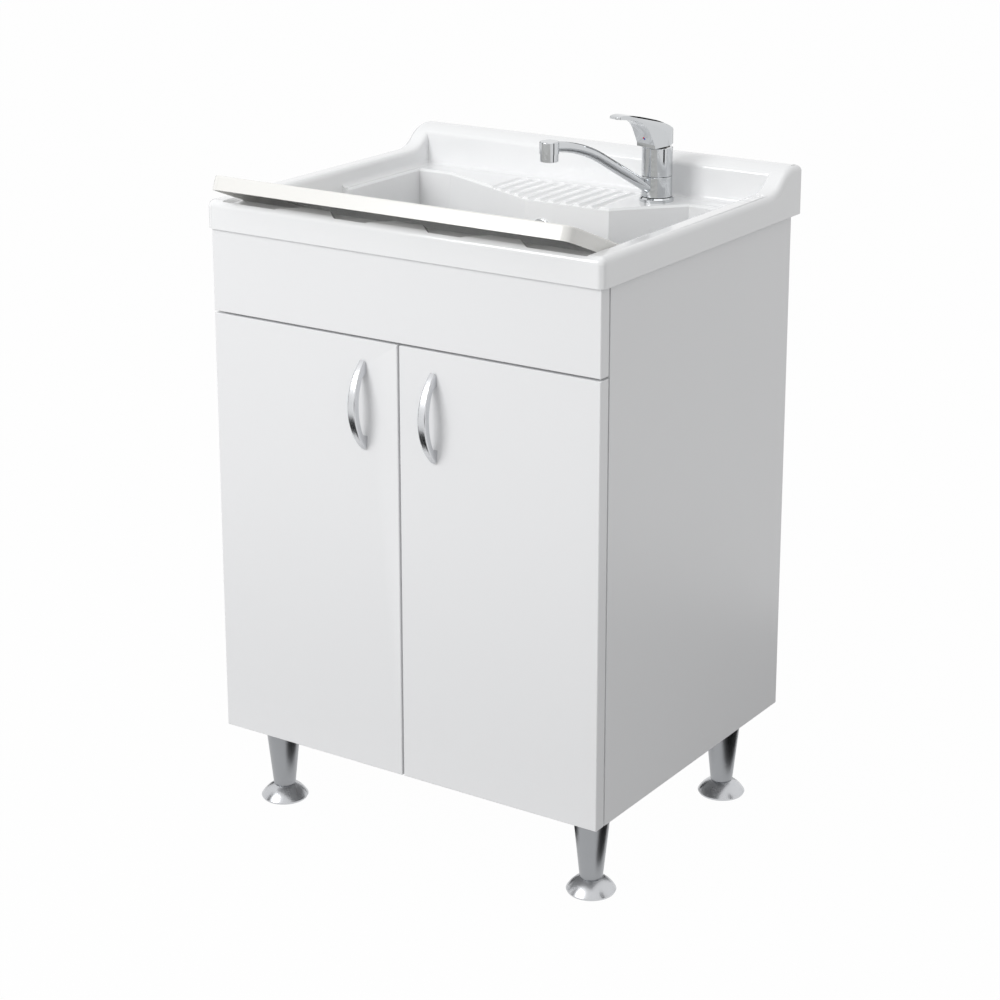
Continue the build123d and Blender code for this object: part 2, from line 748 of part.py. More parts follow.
for side, end in sides:
    with BuildPart() as door:
        panel_block(side * half_gap, side * cabinet_half, 0, door_thickness, underside, door_top)
        chamfer(door.faces().sort_by(Axis.Y)[0].edges(), front_edge_round)
        with Locations(*[(side * cup_offset, back(door_thickness), z) for z in hinge_heights]):
            Cylinder(cup_radius, 2 * cup_depth, rotation=(90, 0, 0), mode=Mode.SUBTRACT)
        with Locations(*[(side * handle_x, back(0), z) for z in handle_screw_heights]):
            Cylinder(screw_radius, 4 * door_thickness, rotation=(90, 0, 0), mode=Mode.SUBTRACT)
        flange_screws = [
            (side * cup_offset, back(door_thickness), z + offset)
            for z in hinge_heights
            for offset in (-cup_screw_offset, cup_screw_offset)
        ]
        with Locations(*flange_screws):
            Cylinder(screw_radius, 2 * cup_screw_bite, rotation=(90, 0, 0), mode=Mode.SUBTRACT)
    door.part.label = f"door_{end}"
    export_step(door.part, f"parts/door_{end}.step")

    # bow handle: its side view, cut to its front view
    half_length = handle_length / 2
    foot_outer = handle_pitch / 2 + handle_foot / 2
    foot_inner = handle_pitch / 2 - handle_foot / 2
    bow_inner = handle_reach - handle_waist
    neck_y = back(-bow_inner / 2)
    neck_rise = foot_inner - handle_foot_lean
    with BuildPart() as handle:
        with BuildSketch(Plane.YZ.offset(side * handle_x - handle_width / 2)):
            with BuildLine():
                ThreePointArc(
                    (back(-handle_tip), handle_z - half_length),
                    (back(-handle_reach), handle_z),
                    (back(-handle_tip), handle_z + half_length),
                )
                Line((back(-handle_tip), handle_z + half_length), (back(0), handle_z + foot_outer))
                Line((back(0), handle_z + foot_outer), (back(0), handle_z + foot_inner))
                Line((back(0), handle_z + foot_inner), (neck_y, handle_z + neck_rise))
                ThreePointArc(
                    (neck_y, handle_z + neck_rise),
                    (back(-bow_inner), handle_z),
                    (neck_y, handle_z - neck_rise),
                )
                Line((neck_y, handle_z - neck_rise), (back(0), handle_z - foot_inner))
                Line((back(0), handle_z - foot_inner), (back(0), handle_z - foot_outer))
                Line((back(0), handle_z - foot_outer), (back(-handle_tip), handle_z - half_length))
            make_face()
        extrude(amount=handle_width)
        with BuildSketch(Plane.XZ.offset(-back(1))):
            with BuildLine():
                for flip in (-1, 1):
                    ThreePointArc(
                        (side * handle_x + flip * handle_end_width / 2, handle_z - half_length),
                        (side * handle_x + flip * handle_width / 2, handle_z),
                        (side * handle_x + flip * handle_end_width / 2, handle_z + half_length),
                    )
                for flip in (-1, 1):
                    Line(
                        (side * handle_x - handle_end_width / 2, handle_z + flip * half_length),
                        (side * handle_x + handle_end_width / 2, handle_z + flip * half_length),
                    )
            make_face()
        extrude(amount=handle_reach + 10, mode=Mode.INTERSECT)
        bow_face = handle.faces().sort_by(Axis.Y)[0]
        fillet(bow_face.edges().sort_by(SortBy.LENGTH)[-2:], handle_round)
        with Locations(*[(side * handle_x, back(0), z) for z in handle_screw_heights]):
            Cylinder(screw_radius, 2 * handle_screw_bite, rotation=(90, 0, 0), mode=Mode.SUBTRACT)
    handle.part.label = f"handle_{end}"
    export_step(handle.part, f"parts/handle_{end}.step")

    # hinge cups with their flanges, let into the door's back
    flange_rear = door_thickness + cup_flange_thickness
    with BuildPart() as hinge_cups:
        for z in hinge_heights:
            with Locations((side * cup_offset, back(door_thickness - cup_depth / 2), z)):
                Cylinder(cup_radius - cup_fit, cup_depth, rotation=(90, 0, 0))
            with Locations((side * cup_offset, back(door_thickness + cup_flange_thickness / 2), z)):
                Box(cup_flange_width, cup_flange_thickness, cup_flange_height)
        for z in hinge_heights:
            panel_block(
                side * (cup_offset - pocket_inner),
                side * (cup_offset + pocket_outer),
                pocket_floor,
                2 * flange_rear,
                z - pocket_half_height,
                z + pocket_half_height,
                mode=Mode.SUBTRACT,
            )
            # the pin that crosses the pocket and stays in the cup's walls
            with Locations((side * pin_offset, back(pin_depth), z)):
                Cylinder(hinge_pin_radius, 2 * hinge_pin_half_length)
        with Locations(*flange_screws):
            Cylinder(screw_radius, 4 * cup_flange_thickness, rotation=(90, 0, 0), mode=Mode.SUBTRACT)
    hinge_cups.part.label = f"hinge_cups_{end}"
    export_step(hinge_cups.part, f"parts/hinge_cups_{end}.step")

    # the door's screws: two through it into the handle, and two in each hinge cup's flange
    handle_screw_length = door_thickness + handle_screw_bite
    handle_screw = screw(screw_head_radius, screw_head_height, screw_radius, handle_screw_length)
    cup_screw_length = cup_flange_thickness + cup_screw_bite
    cup_screw = screw(cup_screw_head_radius, cup_screw_head_height, screw_radius, cup_screw_length)
    with BuildPart() as door_screws:
        for z in handle_screw_heights:
            with Locations(Location((side * handle_x, back(door_thickness), z), (-90, 0, 0))):
                add(handle_screw)
        for x, y, z in flange_screws:
            with Locations(Location((x, back(flange_rear), z), (-90, 0, 0))):
                add(cup_screw)
    door_screws.part.label = f"door_screws_{end}"
    export_step(door_screws.part, f"parts/door_screws_{end}.step")

# hinge arms: an eye on the pin, a thin nose out of the cup and a bar back to the mounting plate
bar_outer = inside_half - plate_thickness
bar_middle = bar_outer - arm_bar_thickness / 2
nose_offset = pin_offset - arm_nose_length * math.cos(math.radians(arm_nose_angle))
nose_depth = pin_depth - arm_nose_length * math.sin(math.radians(arm_nose_angle))
with BuildPart() as hinge_arms:
    for side, end in sides:
        for z in hinge_heights:
            with BuildSketch(Plane.XY.offset(z - arm_half_height)):
                with Locations((side * pin_offset, back(pin_depth))):
                    Circle(arm_eye_radius)
                with BuildLine():
                    Line((side * pin_offset, back(pin_depth)), (side * nose_offset, back(nose_depth)))
                trace(line_width=arm_nose_thickness)
                with Locations((side * bar_middle, back((nose_depth + arm_bar_end) / 2))):
                    Rectangle(arm_bar_thickness, arm_bar_end - nose_depth + arm_nose_thickness)
                with Locations((side * pin_offset, back(pin_depth))):
                    Circle(hinge_pin_radius + running_clearance, mode=Mode.SUBTRACT)
            extrude(amount=2 * arm_half_height)
            with Locations((side * bar_outer, back(plate_middle), z)):
                Cylinder(screw_radius, 4 * arm_bar_thickness, rotation=(0, 90, 0), mode=Mode.SUBTRACT)
hinge_arms.part.label = "hinge_arms"
export_step(hinge_arms.part, "parts/hinge_arms.step")

with BuildPart() as hinge_plates:
    for side, end in sides:
        for z in hinge_heights:
            panel_block(
                side * bar_outer,
                side * inside_half,
                plate_front,
                plate_front + plate_length,
                z - plate_half_height,
                z + plate_half_height,
            )
        plate_holes = [(plate_middle, z) for z in hinge_heights] + hinge_screw_places
        with Locations(*[(side * bar_outer, back(d), z) for d, z in plate_holes]):
            Cylinder(screw_radius, 4 * plate_thickness, rotation=(0, 90, 0), mode=Mode.SUBTRACT)
hinge_plates.part.label = "hinge_plates"
export_step(hinge_plates.part, "parts/hinge_plates.step")

plate_screw = screw(screw_head_radius, screw_head_height, screw_radius, plate_thickness + screw_bite)
arm_screw = screw(screw_head_radius, screw_head_height, screw_radius, plate_thickness + arm_bar_thickness)
with BuildPart() as hinge_screws:
    for side, end in sides:
        turn = (0, -side * 90, 0)
        for d, z in hinge_screw_places:
            with Locations(Location((side * bar_outer, back(d), z), turn)):
                add(plate_screw)
        for z in hinge_heights:
            with Locations(Location((side * (bar_outer - arm_bar_thickness), back(plate_middle), z), turn)):
                add(arm_screw)
hinge_screws.part.label = "hinge_screws"
export_step(hinge_screws.part, "parts/hinge_screws.step")

# ---- Legs and adjustable feet --------------------------------------------------------------------------
bore_top = leg_bottom + foot_stud_length + 2
for place, (leg_x, leg_y) in leg_places.items():
    with BuildPart() as leg:
        with BuildSketch(Plane.XZ.offset(-leg_y)):
            Polygon(
                (leg_x, leg_bottom),
                (leg_x + leg_bottom_radius, leg_bottom),
                (leg_x + leg_top_radius, underside),
                (leg_x, underside),
                align=None,
            )
        revolve(axis=Axis((leg_x, leg_y, 0), (0, 0, 1)))
        fillet(leg.faces().sort_by(Axis.Z)[0].edges(), leg_end_round)
        with Locations((leg_x, leg_y, leg_bottom)):
            Cylinder(
                foot_stud_radius + running_clearance,
                bore_top - leg_bottom,
                align=UPWARD,
                mode=Mode.SUBTRACT,
            )
        with Locations((leg_x, leg_y, underside)):
            Cylinder(
                leg_plate_radius,
                leg_plate_thickness,
                align=DOWNWARD,
                mode=Mode.SUBTRACT,
            )
        with Locations((leg_x, leg_y, underside - leg_plate_thickness)):
            with PolarLocations(leg_screw_circle, leg_screw_count):
                Cylinder(
                    screw_head_radius + head_room,
                    2 * (screw_head_height + head_room),
                    mode=Mode.SUBTRACT,
                )
    leg.part.label = f"leg_{place}"
    export_step(leg.part, f"parts/leg_{place}.step")

    with BuildPart() as foot:
        with BuildSketch(Plane.XZ.offset(-leg_y)):
            with BuildLine():
                Polyline(
                    (leg_x, 0),
                    (leg_x + foot_radius - foot_chamfer, 0),
                    (leg_x + foot_radius, foot_edge),
                )
                ThreePointArc(
                    (leg_x + foot_radius, foot_edge),
                    (leg_x + foot_radius - foot_shoulder_in, foot_edge + foot_shoulder_up),
                    (leg_x + leg_bottom_radius - leg_end_round, leg_bottom),
                )
                Polyline(
                    (leg_x + leg_bottom_radius - leg_end_round, leg_bottom),
                    (leg_x + foot_stud_radius, leg_bottom),
                    (leg_x + foot_stud_radius, leg_bottom + foot_stud_length),
                    (leg_x, leg_bottom + foot_stud_length),
                    (leg_x, 0),
                )
            make_face()
        revolve(axis=Axis((leg_x, leg_y, 0), (0, 0, 1)))
    foot.part.label = f"foot_{place}"
    export_step(foot.part, f"parts/foot_{place}.step")

with BuildPart() as leg_plates:
    with Locations(*[(x, y, underside) for x, y in leg_places.values()]):
        Cylinder(
            leg_plate_radius - leg_plate_fit,
            leg_plate_thickness,
            align=DOWNWARD,
        )
    with Locations(*[(x, y, underside) for x, y in leg_screw_places]):
        Cylinder(screw_radius, 4 * leg_plate_thickness, mode=Mode.SUBTRACT)
leg_plates.part.label = "leg_plates"
export_step(leg_plates.part, "parts/leg_plates.step")

leg_screw = screw(screw_head_radius, screw_head_height, screw_radius, leg_plate_thickness + screw_bite)
with BuildPart() as leg_screws:
    for x, y in leg_screw_places:
        with Locations(Location((x, y, underside - leg_plate_thickness), (180, 0, 0))):
            add(leg_screw)
leg_screws.part.label = "leg_screws"
export_step(leg_screws.part, "parts/leg_screws.step")

# ---- Waste: strainer, funnel, bottle trap and outlet ------------------------------------------------
waste_y = back(waste_depth)
seal_top = basin_floor - sink_wall
seal_bottom = seal_top - waste_seal_thickness
funnel_bottom = seal_bottom - funnel_height
cone_top = funnel_bottom + funnel_cone
throat_outer = waste_hole_radius - throat_fit
throat_inner = throat_outer - tube_wall
tail_inner = tail_radius - tube_wall
plate_top = basin_floor + strainer_dish
bridge_z = seal_bottom - waste_bridge_drop
port_z = seal_bottom - funnel_height / 2
port_y = waste_y + overflow_port_reach
trap_top = outlet_z + trap_rise
trap_joint = outlet_z - trap_joint_drop
tail_bottom = outlet_z - tail_drop
trap_bottom = outlet_z - trap_drop


def turned(points, x, y, mode=Mode.ADD):
    """Turns (radius, height) points about the vertical through x and y, in the part being built."""
    with BuildSketch(Plane.XZ.offset(-y), mode=Mode.PRIVATE) as profile:
        Polygon(*[(x + radius, height) for radius, height in points], align=None)
    revolve(profile.sketch, axis=Axis((x, y, 0), (0, 0, 1)), mode=mode)


with BuildPart() as waste_strainer:
    turned([
        (0, basin_floor - strainer_thickness),
        (throat_inner, basin_floor - strainer_thickness),
        (throat_inner, basin_floor - strainer_throat),
        (throat_outer, basin_floor - strainer_throat),
        (throat_outer, basin_floor),
        (strainer_radius, basin_floor),
        (strainer_radius - strainer_bevel, basin_floor + strainer_thickness),
        (waste_hole_radius, basin_floor + strainer_thickness),
        (waste_hole_radius - 2 * strainer_bevel, plate_top),
        (0, plate_top),
    ], 0, waste_y)
    with Locations((0, waste_y, basin_floor)):
        with PolarLocations(strainer_hole_circle, strainer_holes):
            Cylinder(strainer_hole_radius, 4 * strainer_thickness, mode=Mode.SUBTRACT)
        Cylinder(waste_screw_radius, 4 * strainer_thickness, mode=Mode.SUBTRACT)
waste_strainer.part.label = "waste_strainer"
export_step(waste_strainer.part, "parts/waste_strainer.step")

with BuildPart() as waste_seal:
    turned([
        (waste_hole_radius, seal_bottom),
        (strainer_radius, seal_bottom),
        (strainer_radius, seal_top),
        (waste_hole_radius, seal_top),
    ], 0, waste_y)
waste_seal.part.label = "waste_seal"
export_step(waste_seal.part, "parts/waste_seal.step")

with BuildPart() as waste_body:
    turned([
        (0, seal_bottom),
        (strainer_radius, seal_bottom),
        (strainer_radius, seal_bottom - waste_flange_thickness),
        (waste_hole_radius + tube_wall, seal_bottom - waste_flange_thickness),
        (waste_hole_radius + tube_wall, cone_top),
        (tail_radius, funnel_bottom),
        (tail_radius, tail_bottom),
        (0, tail_bottom),
    ], 0, waste_y)
    with Locations(Location((0, port_y, port_z), (90, 0, 0))):
        Cylinder(overflow_pipe_radius + overflow_pipe_wall, overflow_port_reach - tail_radius, align=UPWARD)
    turned([
        (0, seal_bottom),
        (waste_hole_radius, seal_bottom),
        (waste_hole_radius, cone_top),
        (tail_inner, funnel_bottom),
        (tail_inner, tail_bottom),
        (0, tail_bottom),
    ], 0, waste_y, mode=Mode.SUBTRACT)
    with Locations(Location((0, port_y, port_z), (90, 0, 0))):
        Cylinder(overflow_pipe_radius, overflow_socket, align=UPWARD, mode=Mode.SUBTRACT)
        Cylinder(
            overflow_pipe_radius - overflow_pipe_wall,
            overflow_port_reach - tail_inner,
            align=UPWARD,
            mode=Mode.SUBTRACT,
        )
    with Locations((0, waste_y, bridge_z)):
        Box(2 * waste_hole_radius + tube_wall, waste_bridge_width, waste_bridge_height)
        Cylinder(waste_screw_radius, 2 * waste_bridge_height, mode=Mode.SUBTRACT)
waste_body.part.label = "waste_body"
export_step(waste_body.part, "parts/waste_body.step")

waste_screw_length = plate_top - bridge_z + waste_bridge_height
waste_screw_shape = screw(2 * waste_screw_radius, waste_screw_head, waste_screw_radius, waste_screw_length)
with BuildPart() as waste_screw:
    with Locations((0, waste_y, plate_top)):
        add(waste_screw_shape)
waste_screw.part.label = "waste_screw"
export_step(waste_screw.part, "parts/waste_screw.step")

outlet_y = waste_y + trap_radius + outlet_neck
with BuildPart() as bottle_trap:
    turned([
        (tail_radius, trap_top),
        (tail_radius + tube_wall, trap_top),
        (trap_radius, trap_top - trap_shoulder),
        (trap_radius, trap_joint),
        (tail_radius, trap_joint),
    ], 0, waste_y)
    with Locations(Location((0, outlet_y, outlet_z), (90, 0, 0))):
        Cylinder(tail_radius + tube_wall, outlet_neck + trap_wall, align=UPWARD)
    turned([
        (0, trap_joint),
        (trap_radius - trap_wall, trap_joint),
        (trap_radius - trap_wall, trap_top - trap_shoulder - trap_wall / 2),
        (tail_radius, trap_top - 2 * tube_wall),
        (0, trap_top - 2 * tube_wall),
    ], 0, waste_y, mode=Mode.SUBTRACT)
    with Locations(Location((0, outlet_y, outlet_z), (90, 0, 0))):
        Cylinder(tail_radius, outlet_neck + trap_radius, align=UPWARD, mode=Mode.SUBTRACT)
bottle_trap.part.label = "bottle_trap"
export_step(bottle_trap.part, "parts/bottle_trap.step")

with BuildPart() as trap_cup:
    turned([
        (0, trap_bottom),
        (trap_radius - cup_corner, trap_bottom),
        (trap_radius, trap_bottom + cup_corner),
        (trap_radius, trap_joint - cup_collar),
        (trap_radius + trap_wall, trap_joint - cup_collar + trap_wall),
        (trap_radius + trap_wall, trap_joint + cup_lap),
        (0, trap_joint + cup_lap),
    ], 0, waste_y)
    with Locations((0, waste_y, trap_joint - cup_collar + trap_wall)):
        with PolarLocations(trap_radius + trap_wall, nut_ribs):
            Cylinder(nut_rib_radius, cup_collar, align=UPWARD)
    turned([
        (0, trap_bottom + trap_wall),
        (trap_radius - trap_wall - cup_corner, trap_bottom + trap_wall),
        (trap_radius - trap_wall, trap_bottom + trap_wall + cup_corner),
        (trap_radius - trap_wall, trap_joint),
        (trap_radius, trap_joint),
        (trap_radius, trap_joint + cup_lap),
        (0, trap_joint + cup_lap),
    ], 0, waste_y, mode=Mode.SUBTRACT)
trap_cup.part.label = "trap_cup"
export_step(trap_cup.part, "parts/trap_cup.step")

with BuildPart() as outlet_pipe:
    with Locations(Location((0, back(sink_rear), outlet_z), (90, 0, 0))):
        Cylinder(tail_radius, back(sink_rear) - outlet_y + outlet_socket, align=UPWARD)
        with Locations((0, 0, outlet_spigot)):
            Cylinder(tail_radius + outlet_bead, 2 * outlet_bead, align=UPWARD)
        Cylinder(tail_inner, back(sink_rear) - outlet_y + outlet_socket, align=UPWARD, mode=Mode.SUBTRACT)
outlet_pipe.part.label = "outlet_pipe"
export_step(outlet_pipe.part, "parts/outlet_pipe.step")

# union nuts: one on the trap's top, one on its outlet, each with grip ribs round it
with BuildPart() as union_nut:
    Cylinder(nut_radius, nut_height, align=UPWARD)
    with PolarLocations(nut_radius, nut_ribs):
        Cylinder(nut_rib_radius, nut_height - 2 * nut_rib_radius, align=UPWARD)
    Cylinder(tail_radius, nut_height, align=UPWARD, mode=Mode.SUBTRACT)
with BuildPart() as trap_nuts:
    with Locations(Location((0, waste_y, trap_top)), Location((0, outlet_y, outlet_z), (-90, 0, 0))):
        add(union_nut.part)
trap_nuts.part.label = "trap_nuts"
export_step(trap_nuts.part, "parts/trap_nuts.step")

# ---- Overflow: rosette in the basin's rear wall, elbow behind it, pipe down to the funnel ------------
draft = math.radians(wall_draft)
overflow_face = shelf_front - (deck_top - overflow_z) * math.tan(draft)
overflow_plane = Plane(
    origin=(0, back(overflow_face), overflow_z),
    x_dir=(1, 0, 0),
    z_dir=(0, -math.cos(draft), math.sin(draft)),
)
wall_across = sink_wall * math.cos(draft) + sink_wall / 4 * math.sin(draft)
with BuildPart() as overflow_rosette:
    with BuildSketch(overflow_plane):
        Circle(overflow_ring_radius)
    extrude(amount=overflow_ring_thickness)
    fillet(overflow_rosette.faces().sort_by(Axis.Y)[0].edges(), overflow_ring_thickness / 2)
    with BuildSketch(overflow_plane):
        Circle(overflow_hole_radius - overflow_fit)
    extrude(amount=-sink_wall)
    # four openings between a cross of bars and a hub
    with BuildSketch(overflow_plane.offset(-sink_wall)):
        Circle(overflow_hole_radius - overflow_ring_width)
        Rectangle(2 * overflow_hole_radius, overflow_bar, mode=Mode.SUBTRACT)
        Rectangle(overflow_bar, 2 * overflow_hole_radius, mode=Mode.SUBTRACT)
        Circle(overflow_hub, mode=Mode.SUBTRACT)
    extrude(amount=2 * sink_wall, mode=Mode.SUBTRACT)
    with Locations(overflow_plane):
        Cylinder(overflow_screw_radius, 4 * sink_wall, mode=Mode.SUBTRACT)
overflow_rosette.part.label = "overflow_rosette"
export_step(overflow_rosette.part, "parts/overflow_rosette.step")

overflow_screw_shape = screw(
    overflow_hub,
    overflow_screw_head,
    overflow_screw_radius,
    overflow_screw_length,
)
with BuildPart() as overflow_screw:
    with Locations(overflow_plane.offset(overflow_ring_thickness)):
        add(overflow_screw_shape)
overflow_screw.part.label = "overflow_screw"
export_step(overflow_screw.part, "parts/overflow_screw.step")

behind_wall = overflow_plane.offset(-wall_across - overflow_seat_gap)
hood_radius = overflow_hole_radius + overflow_elbow_wall
elbow_depth = overflow_face + wall_across + overflow_elbow_reach
pipe_y = back(elbow_depth - overflow_pipe_radius - overflow_elbow_wall)
elbow_bottom = overflow_z - overflow_elbow_drop
with BuildPart() as overflow_elbow:
    with BuildSketch(behind_wall):
        Circle(hood_radius)
    extrude(amount=-overflow_elbow_reach)
    with Locations((0, pipe_y, overflow_z)):
        Cylinder(overflow_pipe_radius + overflow_pipe_wall, overflow_elbow_drop, align=DOWNWARD)
    with BuildSketch(behind_wall):
        Circle(overflow_hole_radius)
    extrude(amount=overflow_elbow_wall - overflow_elbow_reach, mode=Mode.SUBTRACT)
    with Locations((0, pipe_y, overflow_z)):
        Cylinder(overflow_pipe_radius, overflow_elbow_drop, align=DOWNWARD, mode=Mode.SUBTRACT)
    # a bridge across it takes the rosette's screw
    with Locations(behind_wall.offset(-overflow_bridge)):
        Box(2 * overflow_hole_radius + overflow_elbow_wall, 2 * overflow_hub, overflow_bridge)
        Cylinder(overflow_screw_radius, 2 * overflow_bridge, mode=Mode.SUBTRACT)
overflow_elbow.part.label = "overflow_elbow"
export_step(overflow_elbow.part, "parts/overflow_elbow.step")

with BuildPart() as overflow_pipe:
    with BuildLine() as pipe_path:
        FilletPolyline(
            (0, pipe_y, elbow_bottom + overflow_socket),
            (0, pipe_y, port_z),
            (0, port_y - overflow_socket, port_z),
            radius=overflow_bend,
        )
    with BuildSketch(Plane.XY.offset(elbow_bottom + overflow_socket)):
        with Locations((0, pipe_y)):
            Circle(overflow_pipe_radius)
            Circle(overflow_pipe_radius - overflow_pipe_wall, mode=Mode.SUBTRACT)
    sweep(path=pipe_path.wires()[0])
overflow_pipe.part.label = "overflow_pipe"
export_step(overflow_pipe.part, "parts/overflow_pipe.step")

# ---- Mixer tap: its own X runs along spout and lever, and its heights start at the deck ---------------
tap_y = back(tap_depth)
turn = math.radians(tap_turn)
tap_plane = Plane(
    origin=(tap_x, tap_y, deck_top),
    x_dir=(-math.sin(turn), -math.cos(turn), 0),
    z_dir=(0, 0, 1),
)
tap_side = Plane(
    origin=(tap_x, tap_y, deck_top),
    x_dir=(-math.sin(turn), -math.cos(turn), 0),
    z_dir=(-math.cos(turn), math.sin(turn), 0),
)


def tap_turned(points, mode=Mode.ADD):
    """Turns (radius, height above the deck) points about the tap's axis, in the part being built."""
    turned([(radius, deck_top + height) for radius, height in points], tap_x, tap_y, mode=mode)


bore_radius = tap_post_radius + running_clearance
head_bottom = collar_top + tap_seam
with BuildPart() as tap_base_ring:
    tap_turned([
        (tap_lip_radius, 0),
        (tap_ring_radius, 0),
        (tap_ring_radius, tap_ring_height - tap_ring_round),
        (tap_ring_radius - tap_ring_round, tap_ring_height),
        (tap_post_radius, tap_ring_height),
        (tap_post_radius, tap_ring_lip),
        (tap_lip_radius, tap_ring_lip),
    ])
tap_base_ring.part.label = "tap_base_ring"
export_step(tap_base_ring.part, "parts/tap_base_ring.step")

with BuildPart() as tap_body:
    tap_turned([
        (0, tap_ring_lip),
        (tap_post_radius, tap_ring_lip),
        (tap_post_radius, head_bottom),
        (tap_radius - tap_edge, head_bottom),
        (tap_radius, head_bottom + tap_edge),
        (tap_radius, tap_body_top - tap_edge),
        (tap_radius - tap_edge, tap_body_top),
        (cartridge_radius, tap_body_top),
        (cartridge_radius, cartridge_bottom),
        (0, cartridge_bottom),
    ])
    # two supply inlets and the clamping stud's hole, from below
    with Locations(tap_plane.offset(tap_ring_lip)):
        with Locations((inlet_forward, -inlet_offset), (inlet_forward, inlet_offset)):
            Cylinder(inlet_radius, inlet_depth, align=UPWARD, mode=Mode.SUBTRACT)
        with Locations((-stud_offset, 0)):
            Cylinder(stud_radius + stud_fit, stud_top, align=UPWARD, mode=Mode.SUBTRACT)
tap_body.part.label = "tap_body"
export_step(tap_body.part, "parts/tap_body.step")

with BuildPart() as tap_spout:
    tap_turned([
        (0, tap_ring_height + tap_seam),
        (tap_radius - tap_edge, tap_ring_height + tap_seam),
        (tap_radius, tap_ring_height + tap_seam + tap_edge),
        (tap_radius, collar_top - tap_edge),
        (tap_radius - tap_edge, collar_top),
        (0, collar_top),
    ])
    # the arm: a flattened round section along a straight rise and an arc that ends level
    with BuildLine(tap_side) as arm_path:
        rise = Line((spout_root, spout_root_height), (spout_bend, spout_bend_height))
        TangentArc((spout_bend, spout_bend_height), (spout_end, spout_end_height), tangent=(rise % 1))
    arm_start = Plane(
        origin=arm_path.wires()[0] @ 0,
        x_dir=tuple(tap_side.z_dir),
        z_dir=arm_path.wires()[0] % 0,
    )
    with BuildSketch(arm_start):
        Ellipse(spout_half_width, spout_half_height)
    sweep(path=arm_path.wires()[0])
    with Locations(tap_plane.offset(boss_bottom)):
        with Locations((spout_end, 0)):
            Cylinder(boss_radius, boss_top - boss_bottom, align=UPWARD)
    fillet(tap_spout.faces().sort_by(Axis.Z)[-1].edges(), boss_round)
    with BuildSketch(arm_start):
        Circle(waterway_radius)
    sweep(path=arm_path.wires()[0], mode=Mode.SUBTRACT)
    with Locations(tap_plane.offset(boss_bottom)):
        with Locations((spout_end, 0)):
            Cylinder(waterway_radius, spout_end_height - boss_bottom, align=UPWARD, mode=Mode.SUBTRACT)
    with Locations(tap_plane):
        Cylinder(bore_radius, 2 * collar_top, align=UPWARD, mode=Mode.SUBTRACT)
tap_spout.part.label = "tap_spout"
export_step(tap_spout.part, "parts/tap_spout.step")

with BuildPart() as tap_aerator:
    with Locations(tap_plane.offset(boss_bottom)):
        with Locations((spout_end, 0)):
            Cylinder(aerator_radius, aerator_height, align=DOWNWARD)
    chamfer(tap_aerator.faces().sort_by(Axis.Z)[0].edges(), tap_edge)
    with Locations(tap_plane.offset(boss_bottom - aerator_height)):
        with Locations((spout_end, 0)):
            Cylinder(aerator_mouth_radius, aerator_mouth_depth, align=UPWARD, mode=Mode.SUBTRACT)
            Cylinder(aerator_hole_radius, aerator_height, align=UPWARD, mode=Mode.SUBTRACT)
            with PolarLocations(aerator_hole_circle, aerator_holes):
                Cylinder(aerator_hole_radius, aerator_height, align=UPWARD, mode=Mode.SUBTRACT)
tap_aerator.part.label = "tap_aerator"
export_step(tap_aerator.part, "parts/tap_aerator.step")

with BuildPart() as tap_cartridge:
    tap_turned([
        (0, cartridge_bottom),
        (cartridge_radius - running_clearance, cartridge_bottom),
        (cartridge_radius - running_clearance, cartridge_top),
        (spindle_radius + running_clearance, cartridge_top),
        (spindle_radius + running_clearance, cartridge_top - cartridge_recess),
        (0, cartridge_top - cartridge_recess),
    ])
tap_cartridge.part.label = "tap_cartridge"
export_step(tap_cartridge.part, "parts/tap_cartridge.step")

nut_top = cartridge_top + cartridge_nut_height
with BuildPart() as cartridge_nut:
    tap_turned([
        (spindle_radius + running_clearance, cartridge_top),
        (cartridge_radius - running_clearance, cartridge_top),
        (cartridge_radius - running_clearance, nut_top),
        (spindle_radius + running_clearance, nut_top),
    ])
cartridge_nut.part.label = "cartridge_nut"
export_step(cartridge_nut.part, "parts/cartridge_nut.step")

spindle_bottom = cartridge_top - cartridge_recess + spindle_rest
block_bottom = nut_top + tap_seam
with BuildPart() as tap_spindle:
    with Locations(tap_plane.offset(spindle_bottom)):
        Cylinder(spindle_radius, spindle_top - spindle_bottom, align=UPWARD)
    with BuildSketch(tap_plane.offset(block_bottom)):
        with Locations(((spindle_block_front + spindle_block_rear) / 2, 0)):
            Rectangle(spindle_block_front - spindle_block_rear, 2 * spindle_block_half)
    extrude(amount=spindle_block_top - block_bottom)
    with BuildSketch(tap_side):
        with Locations((-lift_pin_back, lift_pin_height)):
            Circle(lift_pin_radius + running_clearance)
    extrude(amount=2 * spindle_block_half, both=True, mode=Mode.SUBTRACT)
tap_spindle.part.label = "tap_spindle"
export_step(tap_spindle.part, "parts/tap_spindle.step")

